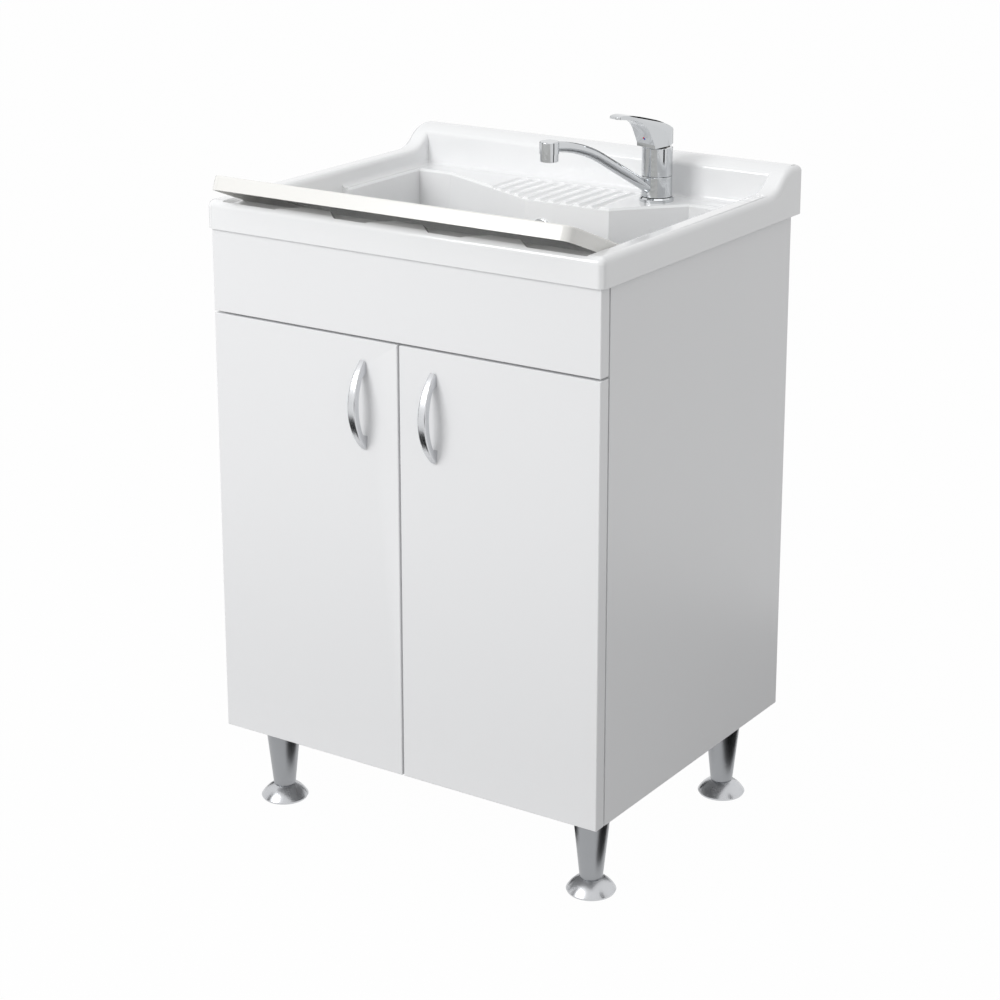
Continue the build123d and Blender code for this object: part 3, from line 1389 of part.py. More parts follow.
# the lever: a cap over the body that runs forward and up into a flat tongue
lift_axis = (-lift_pin_back, lift_pin_height)
lever_top = [
    (-17.5, 91.5),
    (-13, 98.3),
    (-3, 105.2),
    (23.6, 114.4),
    (48.2, 119.9),
    (68.8, 122.8),
    (lever_tip, 121.5),
]
lever_under = [(lever_tip, 118.6), (71.8, 117.7), (50.1, 113.6), (37.4, 107), (28, 93.5), (21, 79)]
lean = math.radians(button_lean)
button_plane = Plane(
    origin=tap_side.from_local_coords((button_forward, button_height, 0)),
    x_dir=tuple(tap_side.z_dir),
    z_dir=tuple(tap_side.x_dir * math.cos(lean) - tap_side.y_dir * math.sin(lean)),
)
arch_slope = math.radians(lever_arch_slope)
arch_plane = Plane(
    origin=tap_side.from_local_coords((-lever_tip, lever_arch_top - lever_tip * math.tan(arch_slope), 0)),
    x_dir=tuple(-tap_side.z_dir),
    z_dir=tuple(tap_side.x_dir * math.cos(arch_slope) + tap_side.y_dir * math.sin(arch_slope)),
)
with BuildPart() as tap_lever:
    with BuildSketch(tap_side):
        with BuildLine():
            Spline((-tap_radius, lever_rear_height), *lever_top)
            Line(lever_top[-1], lever_under[0])
            Spline(*lever_under)
            Polyline(
                lever_under[-1],
                (tap_radius, lever_skirt_front),
                (-tap_radius, lever_skirt_rear),
                (-tap_radius, lever_rear_height),
            )
        make_face()
    extrude(amount=tap_radius, both=True)
    with BuildSketch(tap_plane):
        Circle(tap_radius)
        Polygon(
            (0, -tap_radius),
            (lever_tip, -lever_tip_half_width),
            (lever_tip, lever_tip_half_width),
            (0, tap_radius),
            align=None,
        )
    extrude(amount=2 * lever_slot_top, mode=Mode.INTERSECT)
    with BuildSketch(arch_plane):
        with Locations((0, -lever_arch_radius)):
            Circle(lever_arch_radius)
            Rectangle(2 * lever_arch_radius, 2 * lever_tip, align=(Align.CENTER, Align.MAX))
    extrude(amount=3 * lever_tip, mode=Mode.INTERSECT)
    tip_corners = tap_lever.edges().filter_by(Axis.Z).sort_by(Axis(tap_side.origin, tap_side.x_dir))[-2:]
    fillet(tip_corners, lever_tip_round)
    top_faces = tap_lever.faces().filter_by(lambda face: face.normal_at().Z > 0.4)
    fillet(top_faces.edges(), lever_edge_round)
    # inside: room for the spindle's block, the pin's hole and the button's seat
    with Locations(tap_plane.offset(lever_cavity_top)):
        Cylinder(cartridge_radius, lever_cavity_top, align=DOWNWARD, mode=Mode.SUBTRACT)
    with BuildSketch(tap_plane.offset(tap_body_top)):
        with Locations(((lever_slot_front + lever_slot_rear) / 2, 0)):
            Rectangle(lever_slot_front - lever_slot_rear, 2 * (spindle_block_half + lever_slot_clearance))
    extrude(amount=lever_slot_top - tap_body_top, mode=Mode.SUBTRACT)
    with BuildSketch(tap_side):
        with Locations(lift_axis):
            Circle(lift_pin_radius)
    extrude(amount=lift_pin_half, both=True, mode=Mode.SUBTRACT)
    with BuildSketch(button_plane.offset(-button_depth)):
        Circle(button_radius + running_clearance)
    extrude(amount=4 * button_depth, mode=Mode.SUBTRACT)
tap_lever.part.label = "tap_lever"
export_step(tap_lever.part, "parts/tap_lever.step")

with BuildPart() as lift_pin:
    with BuildSketch(tap_side):
        with Locations(lift_axis):
            Circle(lift_pin_radius)
    extrude(amount=lift_pin_half, both=True)
lift_pin.part.label = "lift_pin"
export_step(lift_pin.part, "parts/lift_pin.step")

with BuildPart() as index_button:
    with BuildSketch(button_plane.offset(-button_depth)):
        Circle(button_radius)
    extrude(amount=button_depth + button_proud)
    fillet(index_button.edges().filter_by(GeomType.CIRCLE)[-1], button_proud)
index_button.part.label = "index_button"
export_step(index_button.part, "parts/index_button.step")

# under the deck: a stud from the body, and a gasket, clamp and nut on it
under_deck = deck_top - sink_wall
with BuildPart() as tap_stud:
    with Locations(tap_plane.offset(tap_ring_lip + stud_top)):
        with Locations((-stud_offset, 0)):
            Cylinder(stud_radius, tap_ring_lip + stud_top + stud_drop, align=DOWNWARD)
tap_stud.part.label = "tap_stud"
export_step(tap_stud.part, "parts/tap_stud.step")

with BuildPart() as tap_gasket:
    with BuildSketch(Plane(tap_plane, origin=(tap_x, tap_y, under_deck))):
        Circle(clamp_radius)
        Circle(tap_hole_radius, mode=Mode.SUBTRACT)
    extrude(amount=-gasket_thickness)
tap_gasket.part.label = "tap_gasket"
export_step(tap_gasket.part, "parts/tap_gasket.step")

clamp_bottom = under_deck - gasket_thickness - clamp_thickness
with BuildPart() as tap_clamp:
    with BuildSketch(tap_plane.offset(clamp_bottom - deck_top)):
        Circle(clamp_radius)
        with Locations((clamp_radius - clamp_slot_back, 0)):
            Rectangle(2 * clamp_radius, 2 * clamp_slot, mode=Mode.SUBTRACT)
        with Locations((-stud_offset, 0)):
            Circle(stud_radius + running_clearance, mode=Mode.SUBTRACT)
    extrude(amount=clamp_thickness)
tap_clamp.part.label = "tap_clamp"
export_step(tap_clamp.part, "parts/tap_clamp.step")

with BuildPart() as tap_nut:
    with BuildSketch(tap_plane.offset(clamp_bottom - deck_top)):
        with Locations((-stud_offset, 0)):
            RegularPolygon(clamp_nut_radius, 6)
            Circle(stud_radius + stud_fit, mode=Mode.SUBTRACT)
    extrude(amount=-clamp_nut_height)
tap_nut.part.label = "tap_nut"
export_step(tap_nut.part, "parts/tap_nut.step")
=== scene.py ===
"""Dresses a utility laundry sink: its finishes, its finer pieces, a pale studio and the camera.

The frame brings every piece at its real size and place, in metres, with X to the right, Y to the
wall behind and Z up. Laid out as an add-on, and run as a script.
"""
import json
import math

import bmesh
import bpy
from mathutils import Matrix, Vector


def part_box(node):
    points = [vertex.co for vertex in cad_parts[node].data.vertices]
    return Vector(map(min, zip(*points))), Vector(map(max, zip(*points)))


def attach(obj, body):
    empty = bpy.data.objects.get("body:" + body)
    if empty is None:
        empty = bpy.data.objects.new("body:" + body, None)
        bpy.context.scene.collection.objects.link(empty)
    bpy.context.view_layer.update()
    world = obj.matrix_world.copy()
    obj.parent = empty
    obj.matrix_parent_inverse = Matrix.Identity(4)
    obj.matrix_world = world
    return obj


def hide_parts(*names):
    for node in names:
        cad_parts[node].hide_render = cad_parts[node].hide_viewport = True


bl_info = {
    "name": "Utility laundry sink",
    "version": (1, 0, 0),
    "blender": (4, 5, 0),
    "location": "3D View > Sidebar > Laundry sink",
    "description": "Finishes, fine pieces and studio of a utility laundry sink",
    "category": "Object",
}

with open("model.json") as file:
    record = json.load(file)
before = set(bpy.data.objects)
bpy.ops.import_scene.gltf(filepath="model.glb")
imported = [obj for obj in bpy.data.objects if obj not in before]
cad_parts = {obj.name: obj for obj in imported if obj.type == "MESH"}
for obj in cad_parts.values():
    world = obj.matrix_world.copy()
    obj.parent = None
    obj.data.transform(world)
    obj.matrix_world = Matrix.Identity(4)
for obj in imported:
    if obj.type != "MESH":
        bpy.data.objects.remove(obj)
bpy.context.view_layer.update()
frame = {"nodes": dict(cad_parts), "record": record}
nodes = frame["nodes"]
record = frame["record"]
body_of_node = {node: body for body, names in record["behaviour"]["bodies"].items() for node in names}

SIDES = ("left", "right")
CORNERS = ("front_left", "front_right", "rear_left", "rear_right")
BOARDS = ("side_panel_left", "side_panel_right", "bottom_panel", "front_rail", "back_rail_upper",
          "back_rail_lower", "fascia_panel", "door_left", "door_right")
SCREW_HEADS = {               # the way the heads of each node's screws face
    "fascia_screws": (0, 1, 0),
    "door_screws_left": (0, 1, 0),
    "door_screws_right": (0, 1, 0),
    "leg_screws": (0, 0, -1),
}

# meshes
MERGE_DISTANCE = 1e-6
FLAT_ANGLE = math.radians(0.5)       # faces that lie this close to one plane are made one
SMOOTH_ANGLE = math.radians(32)      # edges that turn less than this are shaded smooth
ROUNDED_ANGLE = math.radians(50)     # edges of a board that turn more than this are rounded
ROUNDING_STEPS = 3

# a screw's head, for a head of radius 1 and height 1
HEAD_SIDES = 28
HEAD_RINGS = 16
DOME_RADIUS = 1.25
RECESS_REACH = 1.1            # length of each arm of the cross
RECESS_MIDDLE = 1.15          # height of the middle of the arms that cut it, which are 1 tall
SHANK_SIDES = 20

# finishes
DROP_CORE = 0.12              # radius inside which a dried drop is full, as a share of its cell
DROP_EDGE = 0.2
INDEX_SPLIT = (0.6, 0, -0.8)  # points from the hot half of the temperature mark to the cold half

# studio
LAMPS = {                     # length of its sides, its place, the point it is aimed at
    "key_lamp": (1.4, (-1.1, -2.8, 2.3), (0, 0, 0.6)),
    "top_lamp": (1.2, (0.3, 0.1, 2.6), (0.05, 0.05, 0.8)),
}
DARK_CARDS = {                # bearing from +X in degrees, distance, height of the middle, width, height
    "card_left": (-143, 2.4, 1.1, 0.55, 2.2),
    "card_rear_left": (152, 2.4, 1.1, 0.8, 2.2),
    "card_rear": (98, 2.4, 1.1, 0.5, 2.2),
    "card_right": (-4, 2.4, 1.1, 0.5, 2.2),
    "card_low_front": (-62, 1.9, 0.3, 1.2, 0.5),
}
FLOOR_CARDS = {               # lowest and highest x, then y
    "floor_card_right": (0.32, 1.3, -0.2, 0.8),
    "floor_card_front": (-1.3, 0.3, -1.1, -0.45),
    "floor_card_middle": (-0.16, 0.12, -0.25, 0.1),
    "floor_card_left": (-1.2, -0.34, 0.05, 1.0),
}
FLOOR_CARD_HEIGHT = 0.002
FLOOR_REACH = 12
CARD_BLACK = (0.01, 0.011, 0.012)
FRAME_WIDTH = 36              # of the camera's frame, in millimetres
SIGHT = 60                    # how far the camera sees


# ---- Sizes and colours that a user would change -------------------------------------------------

def colour_property(name, description, default):
    return bpy.props.FloatVectorProperty(
        name=name, description=description, subtype="COLOR", size=3, min=0, max=1, default=default)


class SinkColours(bpy.types.PropertyGroup):
    """Colours of the laundry sink's finishes."""
    laminate: colour_property("Laminate", "Faced boards of the cabinet", (0.86, 0.865, 0.875))
    basin: colour_property("Sink top", "Glossy moulded sink top", (0.88, 0.887, 0.895))
    board: colour_property("Washboard", "Moulded washboard, a warmer white", (0.83, 0.825, 0.8))
    handle: colour_property("Handles", "Satin handles", (0.70, 0.71, 0.73))
    leg: colour_property("Legs", "Satin tapered legs", (0.36, 0.37, 0.385))
    foot: colour_property("Feet", "Domed feet under the legs", (0.60, 0.61, 0.63))
    chrome: colour_property("Chrome", "Polished tap and overflow ring", (0.6, 0.615, 0.63))
    steel: colour_property("Steel", "Hinges, screws and strainer", (0.55, 0.55, 0.56))
    brass: colour_property("Brass", "Turned brass inside the tap", (0.66, 0.47, 0.19))
    # painted shade: the brass nut and spindle are coloured near black for the shade in the gap under the
    # lever
    brass_painted_dark: colour_property("Brass, painted dark", "Dark nut and spindle under the lever", (0.12, 0.11, 0.1))
    waste: colour_property("Waste plastic", "Trap and pipes", (0.76, 0.76, 0.74))
    pads: colour_property("Door pads", "Soft stops behind the doors", (0.55, 0.55, 0.54))
    black: colour_property("Black plastic", "Leg plates and seals", (0.012, 0.012, 0.013))
    hot: colour_property("Hot half", "Upper half of the temperature mark", (0.7, 0.015, 0.02))
    cold: colour_property("Cold half", "Lower half of the temperature mark", (0.01, 0.05, 0.42))


class SinkSizes(bpy.types.PropertyGroup):
    """Sizes of the finer pieces."""
    board_round: bpy.props.FloatProperty(
        name="Board edge round", description="Radius of the boards' banded edges",
        default=0.0005, min=0, unit="LENGTH")
    head_height: bpy.props.FloatProperty(
        name="Screw head height", description="Height of a pan head above its seat",
        default=0.0022, min=0, unit="LENGTH")
    shank_radius: bpy.props.FloatProperty(
        name="Screw shank radius", description="Radius of a screw's shank",
        default=0.0019, min=0, unit="LENGTH")
    recess_width: bpy.props.FloatProperty(
        name="Screw recess width", description="Width of the cross's arms, as a share of the head's radius",
        default=0.26, min=0, max=1)


class SinkStudio(bpy.types.PropertyGroup):
    """Light level and camera of the studio."""
    sky_level: bpy.props.FloatProperty(
        name="Sky level", description="Strength of the even light from all round", default=0.67, min=0)
    key_power: bpy.props.FloatProperty(
        name="Key lamp", description="Power of the soft lamp at the front left",
        default=52, min=0, unit="POWER")
    top_power: bpy.props.FloatProperty(
        name="Top lamp", description="Power of the soft lamp over the sink", default=3, min=0, unit="POWER")
    floor_colour: colour_property("Floor", "Pale floor that takes the shadow", (0.5, 0.5, 0.5))
    floor_white: bpy.props.FloatProperty(
        name="Floor white", description="Share of plain white that the floor shows",
        default=0.985, min=0, max=1)
    camera_place: bpy.props.FloatVectorProperty(
        name="Camera", description="Where the camera stands", subtype="XYZ", unit="LENGTH", size=3,
        default=(1.7468, -2.6234, 1.5166))
    camera_heading: bpy.props.FloatProperty(
        name="Heading", description="Turn to the right of straight ahead", subtype="ANGLE", default=-0.5878)
    camera_pitch: bpy.props.FloatProperty(
        name="Pitch", description="Angle below the horizon", subtype="ANGLE", default=0.27449)
    camera_roll: bpy.props.FloatProperty(
        name="Roll", description="Turn of the frame about the line of sight",
        subtype="ANGLE", default=-0.00063)
    camera_lens: bpy.props.FloatProperty(
        name="Lens", description="Focal length on a 36 mm frame, in millimetres", default=89.0, min=1)
    camera_shift: bpy.props.FloatProperty(
        name="Shift", description="Vertical shift that keeps the upright edges nearly parallel",
        default=-0.14)


# ---- Shader node groups -------------------------------------------------------------------------

def add_node(tree, kind, values=None, **settings):
    """A new node with these settings, and then these values for its inputs."""
    node = tree.nodes.new(kind)
    for name, setting in settings.items():
        setattr(node, name, setting)
    for socket, value in (values or {}).items():
        node.inputs[socket].default_value = value
    return node


def shader_group(name, inputs, outputs):
    """A new shader node group with (name, kind, default) inputs and (name, kind) outputs."""
    tree = bpy.data.node_groups.new(name, "ShaderNodeTree")
    for label, kind, default in inputs:
        tree.interface.new_socket(label, in_out="INPUT", socket_type=kind).default_value = default
    for label, kind in outputs:
        tree.interface.new_socket(label, in_out="OUTPUT", socket_type=kind)
    return tree, tree.nodes.new("NodeGroupInput"), tree.nodes.new("NodeGroupOutput")


def grain_group():
    """Fine relief that runs the way it is stretched: orange peel, brushing or turning marks."""
    tree, given, result = shader_group(
        "fine_grain",
        [("Scale", "NodeSocketFloat", 900.0), ("Stretch", "NodeSocketVector", (1, 1, 1)),
         ("Softness", "NodeSocketFloat", 0.5)],
        [("Height", "NodeSocketFloat")])
    place = add_node(tree, "ShaderNodeTexCoord")
    stretch = add_node(tree, "ShaderNodeVectorMath", operation="MULTIPLY")
    noise = add_node(tree, "ShaderNodeTexNoise", {"Detail": 3})
    link = tree.links.new
    link(place.outputs["Object"], stretch.inputs[0])
    link(given.outputs["Stretch"], stretch.inputs[1])
    link(stretch.outputs["Vector"], noise.inputs["Vector"])
    link(given.outputs["Scale"], noise.inputs["Scale"])
    link(given.outputs["Softness"], noise.inputs["Roughness"])
    link(noise.outputs["Fac"], result.inputs["Height"])
    return tree


def marks_group():
    """Faint smears of use: broad clouds, with small spots where water dried."""
    tree, given, result = shader_group(
        "marks_of_use",
        [("Cloud Scale", "NodeSocketFloat", 4.0), ("Spot Scale", "NodeSocketFloat", 90.0),
         ("Spots", "NodeSocketFloat", 0.3)],
        [("Mask", "NodeSocketFloat")])
    place = add_node(tree, "ShaderNodeTexCoord")
    clouds = add_node(tree, "ShaderNodeTexNoise", {"Detail": 4, "Roughness": 0.6})
    spots = add_node(tree, "ShaderNodeTexVoronoi")
    drops = add_node(tree, "ShaderNodeMapRange",
                     {"From Min": DROP_CORE, "From Max": DROP_EDGE, "To Min": 1, "To Max": 0})
    dim = add_node(tree, "ShaderNodeMath", operation="MULTIPLY")
    total = add_node(tree, "ShaderNodeMath", operation="MULTIPLY_ADD", use_clamp=True)
    link = tree.links.new
    for texture, scale in ((clouds, "Cloud Scale"), (spots, "Spot Scale")):
        link(place.outputs["Object"], texture.inputs["Vector"])
        link(given.outputs[scale], texture.inputs["Scale"])
    link(spots.outputs["Distance"], drops.inputs["Value"])
    link(drops.outputs["Result"], dim.inputs[0])
    link(given.outputs["Spots"], dim.inputs[1])
    link(dim.outputs["Value"], total.inputs[0])
    link(clouds.outputs["Fac"], total.inputs[1])
    link(clouds.outputs["Fac"], total.inputs[2])
    link(total.outputs["Value"], result.inputs["Mask"])
    return tree


groups = {"grain": grain_group(), "marks": marks_group()}


# ---- Finishes -----------------------------------------------------------------------------------

def finish(name, colour, roughness, metallic=0.0, grain=900.0, stretch=(1, 1, 1), relief=0.00001,
           spread=0.06, tint=0.04, clouds=4.0, spots=0.3, coat=0.0):
    """A material: a plain shader whose colour, gloss and relief vary a little over the surface.

    grain, stretch and relief shape the fine relief, in metres; spread and tint are how far marks of
    use change the roughness and the colour.
    """
    material = bpy.data.materials.new(name)
    material.use_nodes = True
    tree = material.node_tree
    shader = tree.nodes["Principled BSDF"]
    shader.inputs["Metallic"].default_value = metallic
    shader.inputs["Coat Weight"].default_value = coat
    marks = add_node(tree, "ShaderNodeGroup", {"Cloud Scale": clouds, "Spots": spots},
                     node_tree=groups["marks"])
    gloss = add_node(tree, "ShaderNodeMapRange",
                     {"To Min": roughness - spread / 2, "To Max": roughness + spread})
    marked = tuple(part * (1 - tint) for part in colour)
    shade = add_node(tree, "ShaderNodeMix", {"A": (*colour, 1), "B": (*marked, 1)}, data_type="RGBA")
    surface = add_node(tree, "ShaderNodeGroup", {"Scale": grain, "Stretch": stretch},
                       node_tree=groups["grain"])
    bump = add_node(tree, "ShaderNodeBump", {"Distance": relief})
    link = tree.links.new
    link(marks.outputs["Mask"], gloss.inputs["Value"])
    link(marks.outputs["Mask"], shade.inputs["Factor"])
    link(shade.outputs["Result"], shader.inputs["Base Color"])
    link(gloss.outputs["Result"], shader.inputs["Roughness"])
    link(surface.outputs["Height"], bump.inputs["Height"])
    link(bump.outputs["Normal"], shader.inputs["Normal"])
    return material


def laminate(colours):
    """Melamine faced board: satin white with a very fine orange peel."""
    return finish("white_laminate", colours.laminate, 0.34, grain=1400, relief=0.000012,
                  spread=0.05, tint=0.02, clouds=3, spots=0.1)


def glossy_moulding(colours):
    """Pressed and moulded sink top: deep gloss, a slow ripple, water spots."""
    return finish("glossy_sink_top", colours.basin, 0.1, grain=45, relief=0.00003, spread=0.05,
                  tint=0.025, clouds=6, spots=0.35, coat=0.3)


def board_moulding(colours):
    """Washboard: the same gloss in a warmer white, a little duller from rubbing."""
    return finish("glossy_washboard", colours.board, 0.2, grain=60, relief=0.00003, spread=0.1,
                  tint=0.03, clouds=9, spots=0.3)


def satin_handle(colours):
    """Handles: fine brushing along their length."""
    return finish("satin_handle", colours.handle, 0.24, metallic=1, grain=2600, stretch=(1, 1, 0.03),
                  relief=0.000006, spread=0.06, tint=0.06, clouds=20, spots=0.05)


def turned_metal(name, colour, roughness):
    """Legs and feet: fine rings from the lathe round an upright axis."""
    return finish(name, colour, roughness, metallic=1, grain=2400, stretch=(0.03, 0.03, 1),
                  relief=0.000002, spread=0.05, tint=0.08, clouds=14, spots=0.1)


def polished_chrome(colours):
    """Polished chrome with faint smears and dried drops."""
    return finish("polished_chrome", colours.chrome, 0.045, metallic=1, grain=30, relief=0.00001,
                  spread=0.04, tint=0.04, clouds=22, spots=0.4)


def plated_steel(name, colour, roughness):
    """Nickel or zinc plate: a light mottle over rolled steel."""
    return finish(name, colour, roughness, metallic=1, grain=1500, stretch=(1, 0.12, 1),
                  relief=0.000008, spread=0.12, tint=0.14, clouds=60, spots=0.2)


def turned_brass(colours):
    """The tap's nut: brass with the lathe's rings."""
    return finish("turned_brass", colours.brass, 0.26, metallic=1, grain=2200, stretch=(0.03, 0.03, 1),
                  relief=0.000008, spread=0.1, tint=0.15, clouds=50, spots=0.1)


def moulded_plastic(name, colour):
    """Waste fittings and small plastic parts: fine spark-eroded texture."""
    return finish(name, colour, 0.42, grain=1800, relief=0.00002, spread=0.08, tint=0.05,
                  clouds=15, spots=0.15)


def moulded_rubber(name, colour):
    """Seals and pads: dull, with a cloudy bloom."""
    return finish(name, colour, 0.68, grain=2600, relief=0.00003, spread=0.1, tint=0.2, clouds=40, spots=0)


def index_enamel(colours):
    """The temperature mark: its upper left half hot, its lower right half cold."""
    material = finish("index_enamel", colours.hot, 0.2, grain=300, tint=0.1)
    tree = material.node_tree
    lowest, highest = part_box("index_button")
    middle = (Vector(lowest) + Vector(highest)) / 2
    place = add_node(tree, "ShaderNodeTexCoord")
    offset = add_node(tree, "ShaderNodeVectorMath", {1: middle}, operation="SUBTRACT")
    lean = add_node(tree, "ShaderNodeVectorMath", {1: INDEX_SPLIT}, operation="DOT_PRODUCT")
    below = add_node(tree, "ShaderNodeMath", {1: 0}, operation="GREATER_THAN")
    halves = add_node(tree, "ShaderNodeMix", {"B": (*colours.cold, 1)}, data_type="RGBA")
    shader = tree.nodes["Principled BSDF"]
    hot = shader.inputs["Base Color"].links[0].from_socket
    link = tree.links.new
    link(place.outputs["Object"], offset.inputs[0])
    link(offset.outputs["Vector"], lean.inputs[0])
    link(lean.outputs["Value"], below.inputs[0])
    link(below.outputs["Value"], halves.inputs["Factor"])
    link(hot, halves.inputs["A"])
    link(halves.outputs["Result"], shader.inputs["Base Color"])
    return material


# ---- Making pieces ------------------------------------------------------------------------------

def dress(material, *names):
    """Gives CAD nodes that stay as they are a finish."""
    for name in names:
        for slot in nodes[name].material_slots:
            slot.material = material


def stand_for(piece, *names):
    """The piece replaces these nodes: it rides on their body, and the nodes are hidden."""
    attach(piece, body_of_node[names[0]])
    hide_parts(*names)


def placed(name, mesh):
    """An object for a finished mesh, shaded smooth between its sharp edges."""
    for polygon in mesh.polygons:
        polygon.use_smooth = True
    mesh.set_sharp_from_angle(angle=SMOOTH_ANGLE)
    piece = bpy.data.objects.new(name, mesh)
    bpy.context.scene.collection.objects.link(piece)
    return piece


def mesh_piece(name, shape, material):
    """An object made from a bmesh, which is freed."""
    mesh = bpy.data.meshes.new(name)
    shape.to_mesh(mesh)
    shape.free()
    mesh.materials.append(material)
    return placed(name, mesh)


def joined_copy(node):
    """A bmesh copy of a CAD node with its loose triangles joined."""
    shape = bmesh.new()
    shape.from_mesh(nodes[node].data)
    bmesh.ops.remove_doubles(shape, verts=shape.verts, dist=MERGE_DISTANCE)
    return shape


def rounded_copy(node, name, material, radius):
    """A copy of a CAD node with its sharp edges rounded, which stands for the node."""
    shape = joined_copy(node)
    bmesh.ops.dissolve_limit(shape, angle_limit=FLAT_ANGLE, verts=shape.verts, edges=shape.edges)
    piece = mesh_piece(name, shape, material)
    bevel = piece.modifiers.new("rounded edges", "BEVEL")
    bevel.width = radius
    bevel.segments = ROUNDING_STEPS
    bevel.limit_method = "ANGLE"
    bevel.angle_limit = ROUNDED_ANGLE
    bevel.harden_normals = True
    stand_for(piece, node)


def island_boxes(node):
    """(lowest, highest) corners of each separate solid of a node."""
    shape = joined_copy(node)
    boxes = []
    unseen = set(shape.verts)
    while unseen:
        island = [unseen.pop()]
        for vertex in island:
            for edge in vertex.link_edges:
                other = edge.other_vert(vertex)
                if other in unseen:
                    unseen.remove(other)
                    island.append(other)
        corners = [[pick(vertex.co[axis] for vertex in island) for axis in range(3)] for pick in (min, max)]
        boxes.append(tuple(Vector(corner) for corner in corners))
    shape.free()
    return boxes


# ---- Screws, made by Geometry Nodes -------------------------------------------------------------

def screw_head(tree, recess_width):
    """A head of radius 1 and height 1: a ball cut by a cylinder and flat below, less a cross."""
    link = tree.links.new
    ball = add_node(tree, "GeometryNodeMeshUVSphere",
                    {"Segments": HEAD_SIDES, "Rings": HEAD_RINGS, "Radius": DOME_RADIUS})
    drum = add_node(tree, "GeometryNodeMeshCylinder", {"Vertices": HEAD_SIDES, "Radius": 1, "Depth": 4})
    raise_drum = add_node(tree, "GeometryNodeTransform", {"Translation": (0, 0, 2)})
    domed = add_node(tree, "GeometryNodeMeshBoolean", operation="INTERSECT")
    link(drum.outputs["Mesh"], raise_drum.inputs["Geometry"])
    link(ball.outputs["Mesh"], domed.inputs["Mesh 2"])
    link(raise_drum.outputs["Geometry"], domed.inputs["Mesh 2"])
    recessed = add_node(tree, "GeometryNodeMeshBoolean", operation="DIFFERENCE")
    link(domed.outputs["Mesh"], recessed.inputs["Mesh 1"])
    for along, across in (("X", "Y"), ("Y", "X")):
        arm_size = add_node(tree, "ShaderNodeCombineXYZ", {along: RECESS_REACH, "Z": 1})
        arm = add_node(tree, "GeometryNodeMeshCube")
        raise_arm = add_node(tree, "GeometryNodeTransform", {"Translation": (0, 0, RECESS_MIDDLE)})
        link(recess_width, arm_size.inputs[across])
        link(arm_size.outputs["Vector"], arm.inputs["Size"])
        link(arm.outputs["Mesh"], raise_arm.inputs["Geometry"])
        link(raise_arm.outputs["Geometry"], recessed.inputs["Mesh 2"])
    return recessed.outputs["Mesh"]


def screw_shank(tree):
    """A shank of radius 1 and length 1, which hangs below its head."""
    shank = add_node(tree, "GeometryNodeMeshCylinder", {"Vertices": SHANK_SIDES, "Radius": 1, "Depth": 1})
    lower_shank = add_node(tree, "GeometryNodeTransform", {"Translation": (0, 0, -0.5)})
    tree.links.new(shank.outputs["Mesh"], lower_shank.inputs["Geometry"])
    return lower_shank.outputs["Geometry"]


def point_value(tree, name, kind):
    """The output of a named attribute that each point carries."""
    attribute = add_node(tree, "GeometryNodeInputNamedAttribute", {"Name": name}, data_type=kind)
    return attribute.outputs["Attribute"]


def screw_tree():
    """A tree that sets a pan head screw on each point, with its head along the point's facing."""
    tree = bpy.data.node_groups.new("pan_head_screws", "GeometryNodeTree")
    inputs = {}
    for name, kind in (("Points", "Geometry"), ("Head Height", "Float"), ("Shank Radius", "Float"),
                       ("Recess Width", "Float"), ("Material", "Material")):
        socket = tree.interface.new_socket(name, in_out="INPUT", socket_type=f"NodeSocket{kind}")
        inputs[name] = socket.identifier
    tree.interface.new_socket("Screws", in_out="OUTPUT", socket_type="NodeSocketGeometry")
    given = tree.nodes.new("NodeGroupInput")
    result = tree.nodes.new("NodeGroupOutput")
    link = tree.links.new

    aim = add_node(tree, "FunctionNodeAlignRotationToVector", axis="Z")
    link(point_value(tree, "facing", "FLOAT_VECTOR"), aim.inputs["Vector"])
    join = tree.nodes.new("GeometryNodeJoinGeometry")
    parts = (
        (screw_head(tree, given.outputs["Recess Width"]),
         point_value(tree, "head_radius", "FLOAT"), given.outputs["Head Height"]),
        (screw_shank(tree), given.outputs["Shank Radius"], point_value(tree, "shank_length", "FLOAT")),
    )
    for shape, across, along in parts:
        size = tree.nodes.new("ShaderNodeCombineXYZ")
        link(across, size.inputs["X"])
        link(across, size.inputs["Y"])
        link(along, size.inputs["Z"])
        on_points = tree.nodes.new("GeometryNodeInstanceOnPoints")
        link(given.outputs["Points"], on_points.inputs["Points"])
        link(shape, on_points.inputs["Instance"])
        link(aim.outputs["Rotation"], on_points.inputs["Rotation"])
        link(size.outputs["Vector"], on_points.inputs["Scale"])
        link(on_points.outputs["Instances"], join.inputs["Geometry"])
    realize = tree.nodes.new("GeometryNodeRealizeInstances")
    paint = tree.nodes.new("GeometryNodeSetMaterial")
    link(join.outputs["Geometry"], realize.inputs["Geometry"])
    link(realize.outputs["Geometry"], paint.inputs["Geometry"])
    link(given.outputs["Material"], paint.inputs["Material"])
    link(paint.outputs["Geometry"], result.inputs["Screws"])
    return tree, inputs


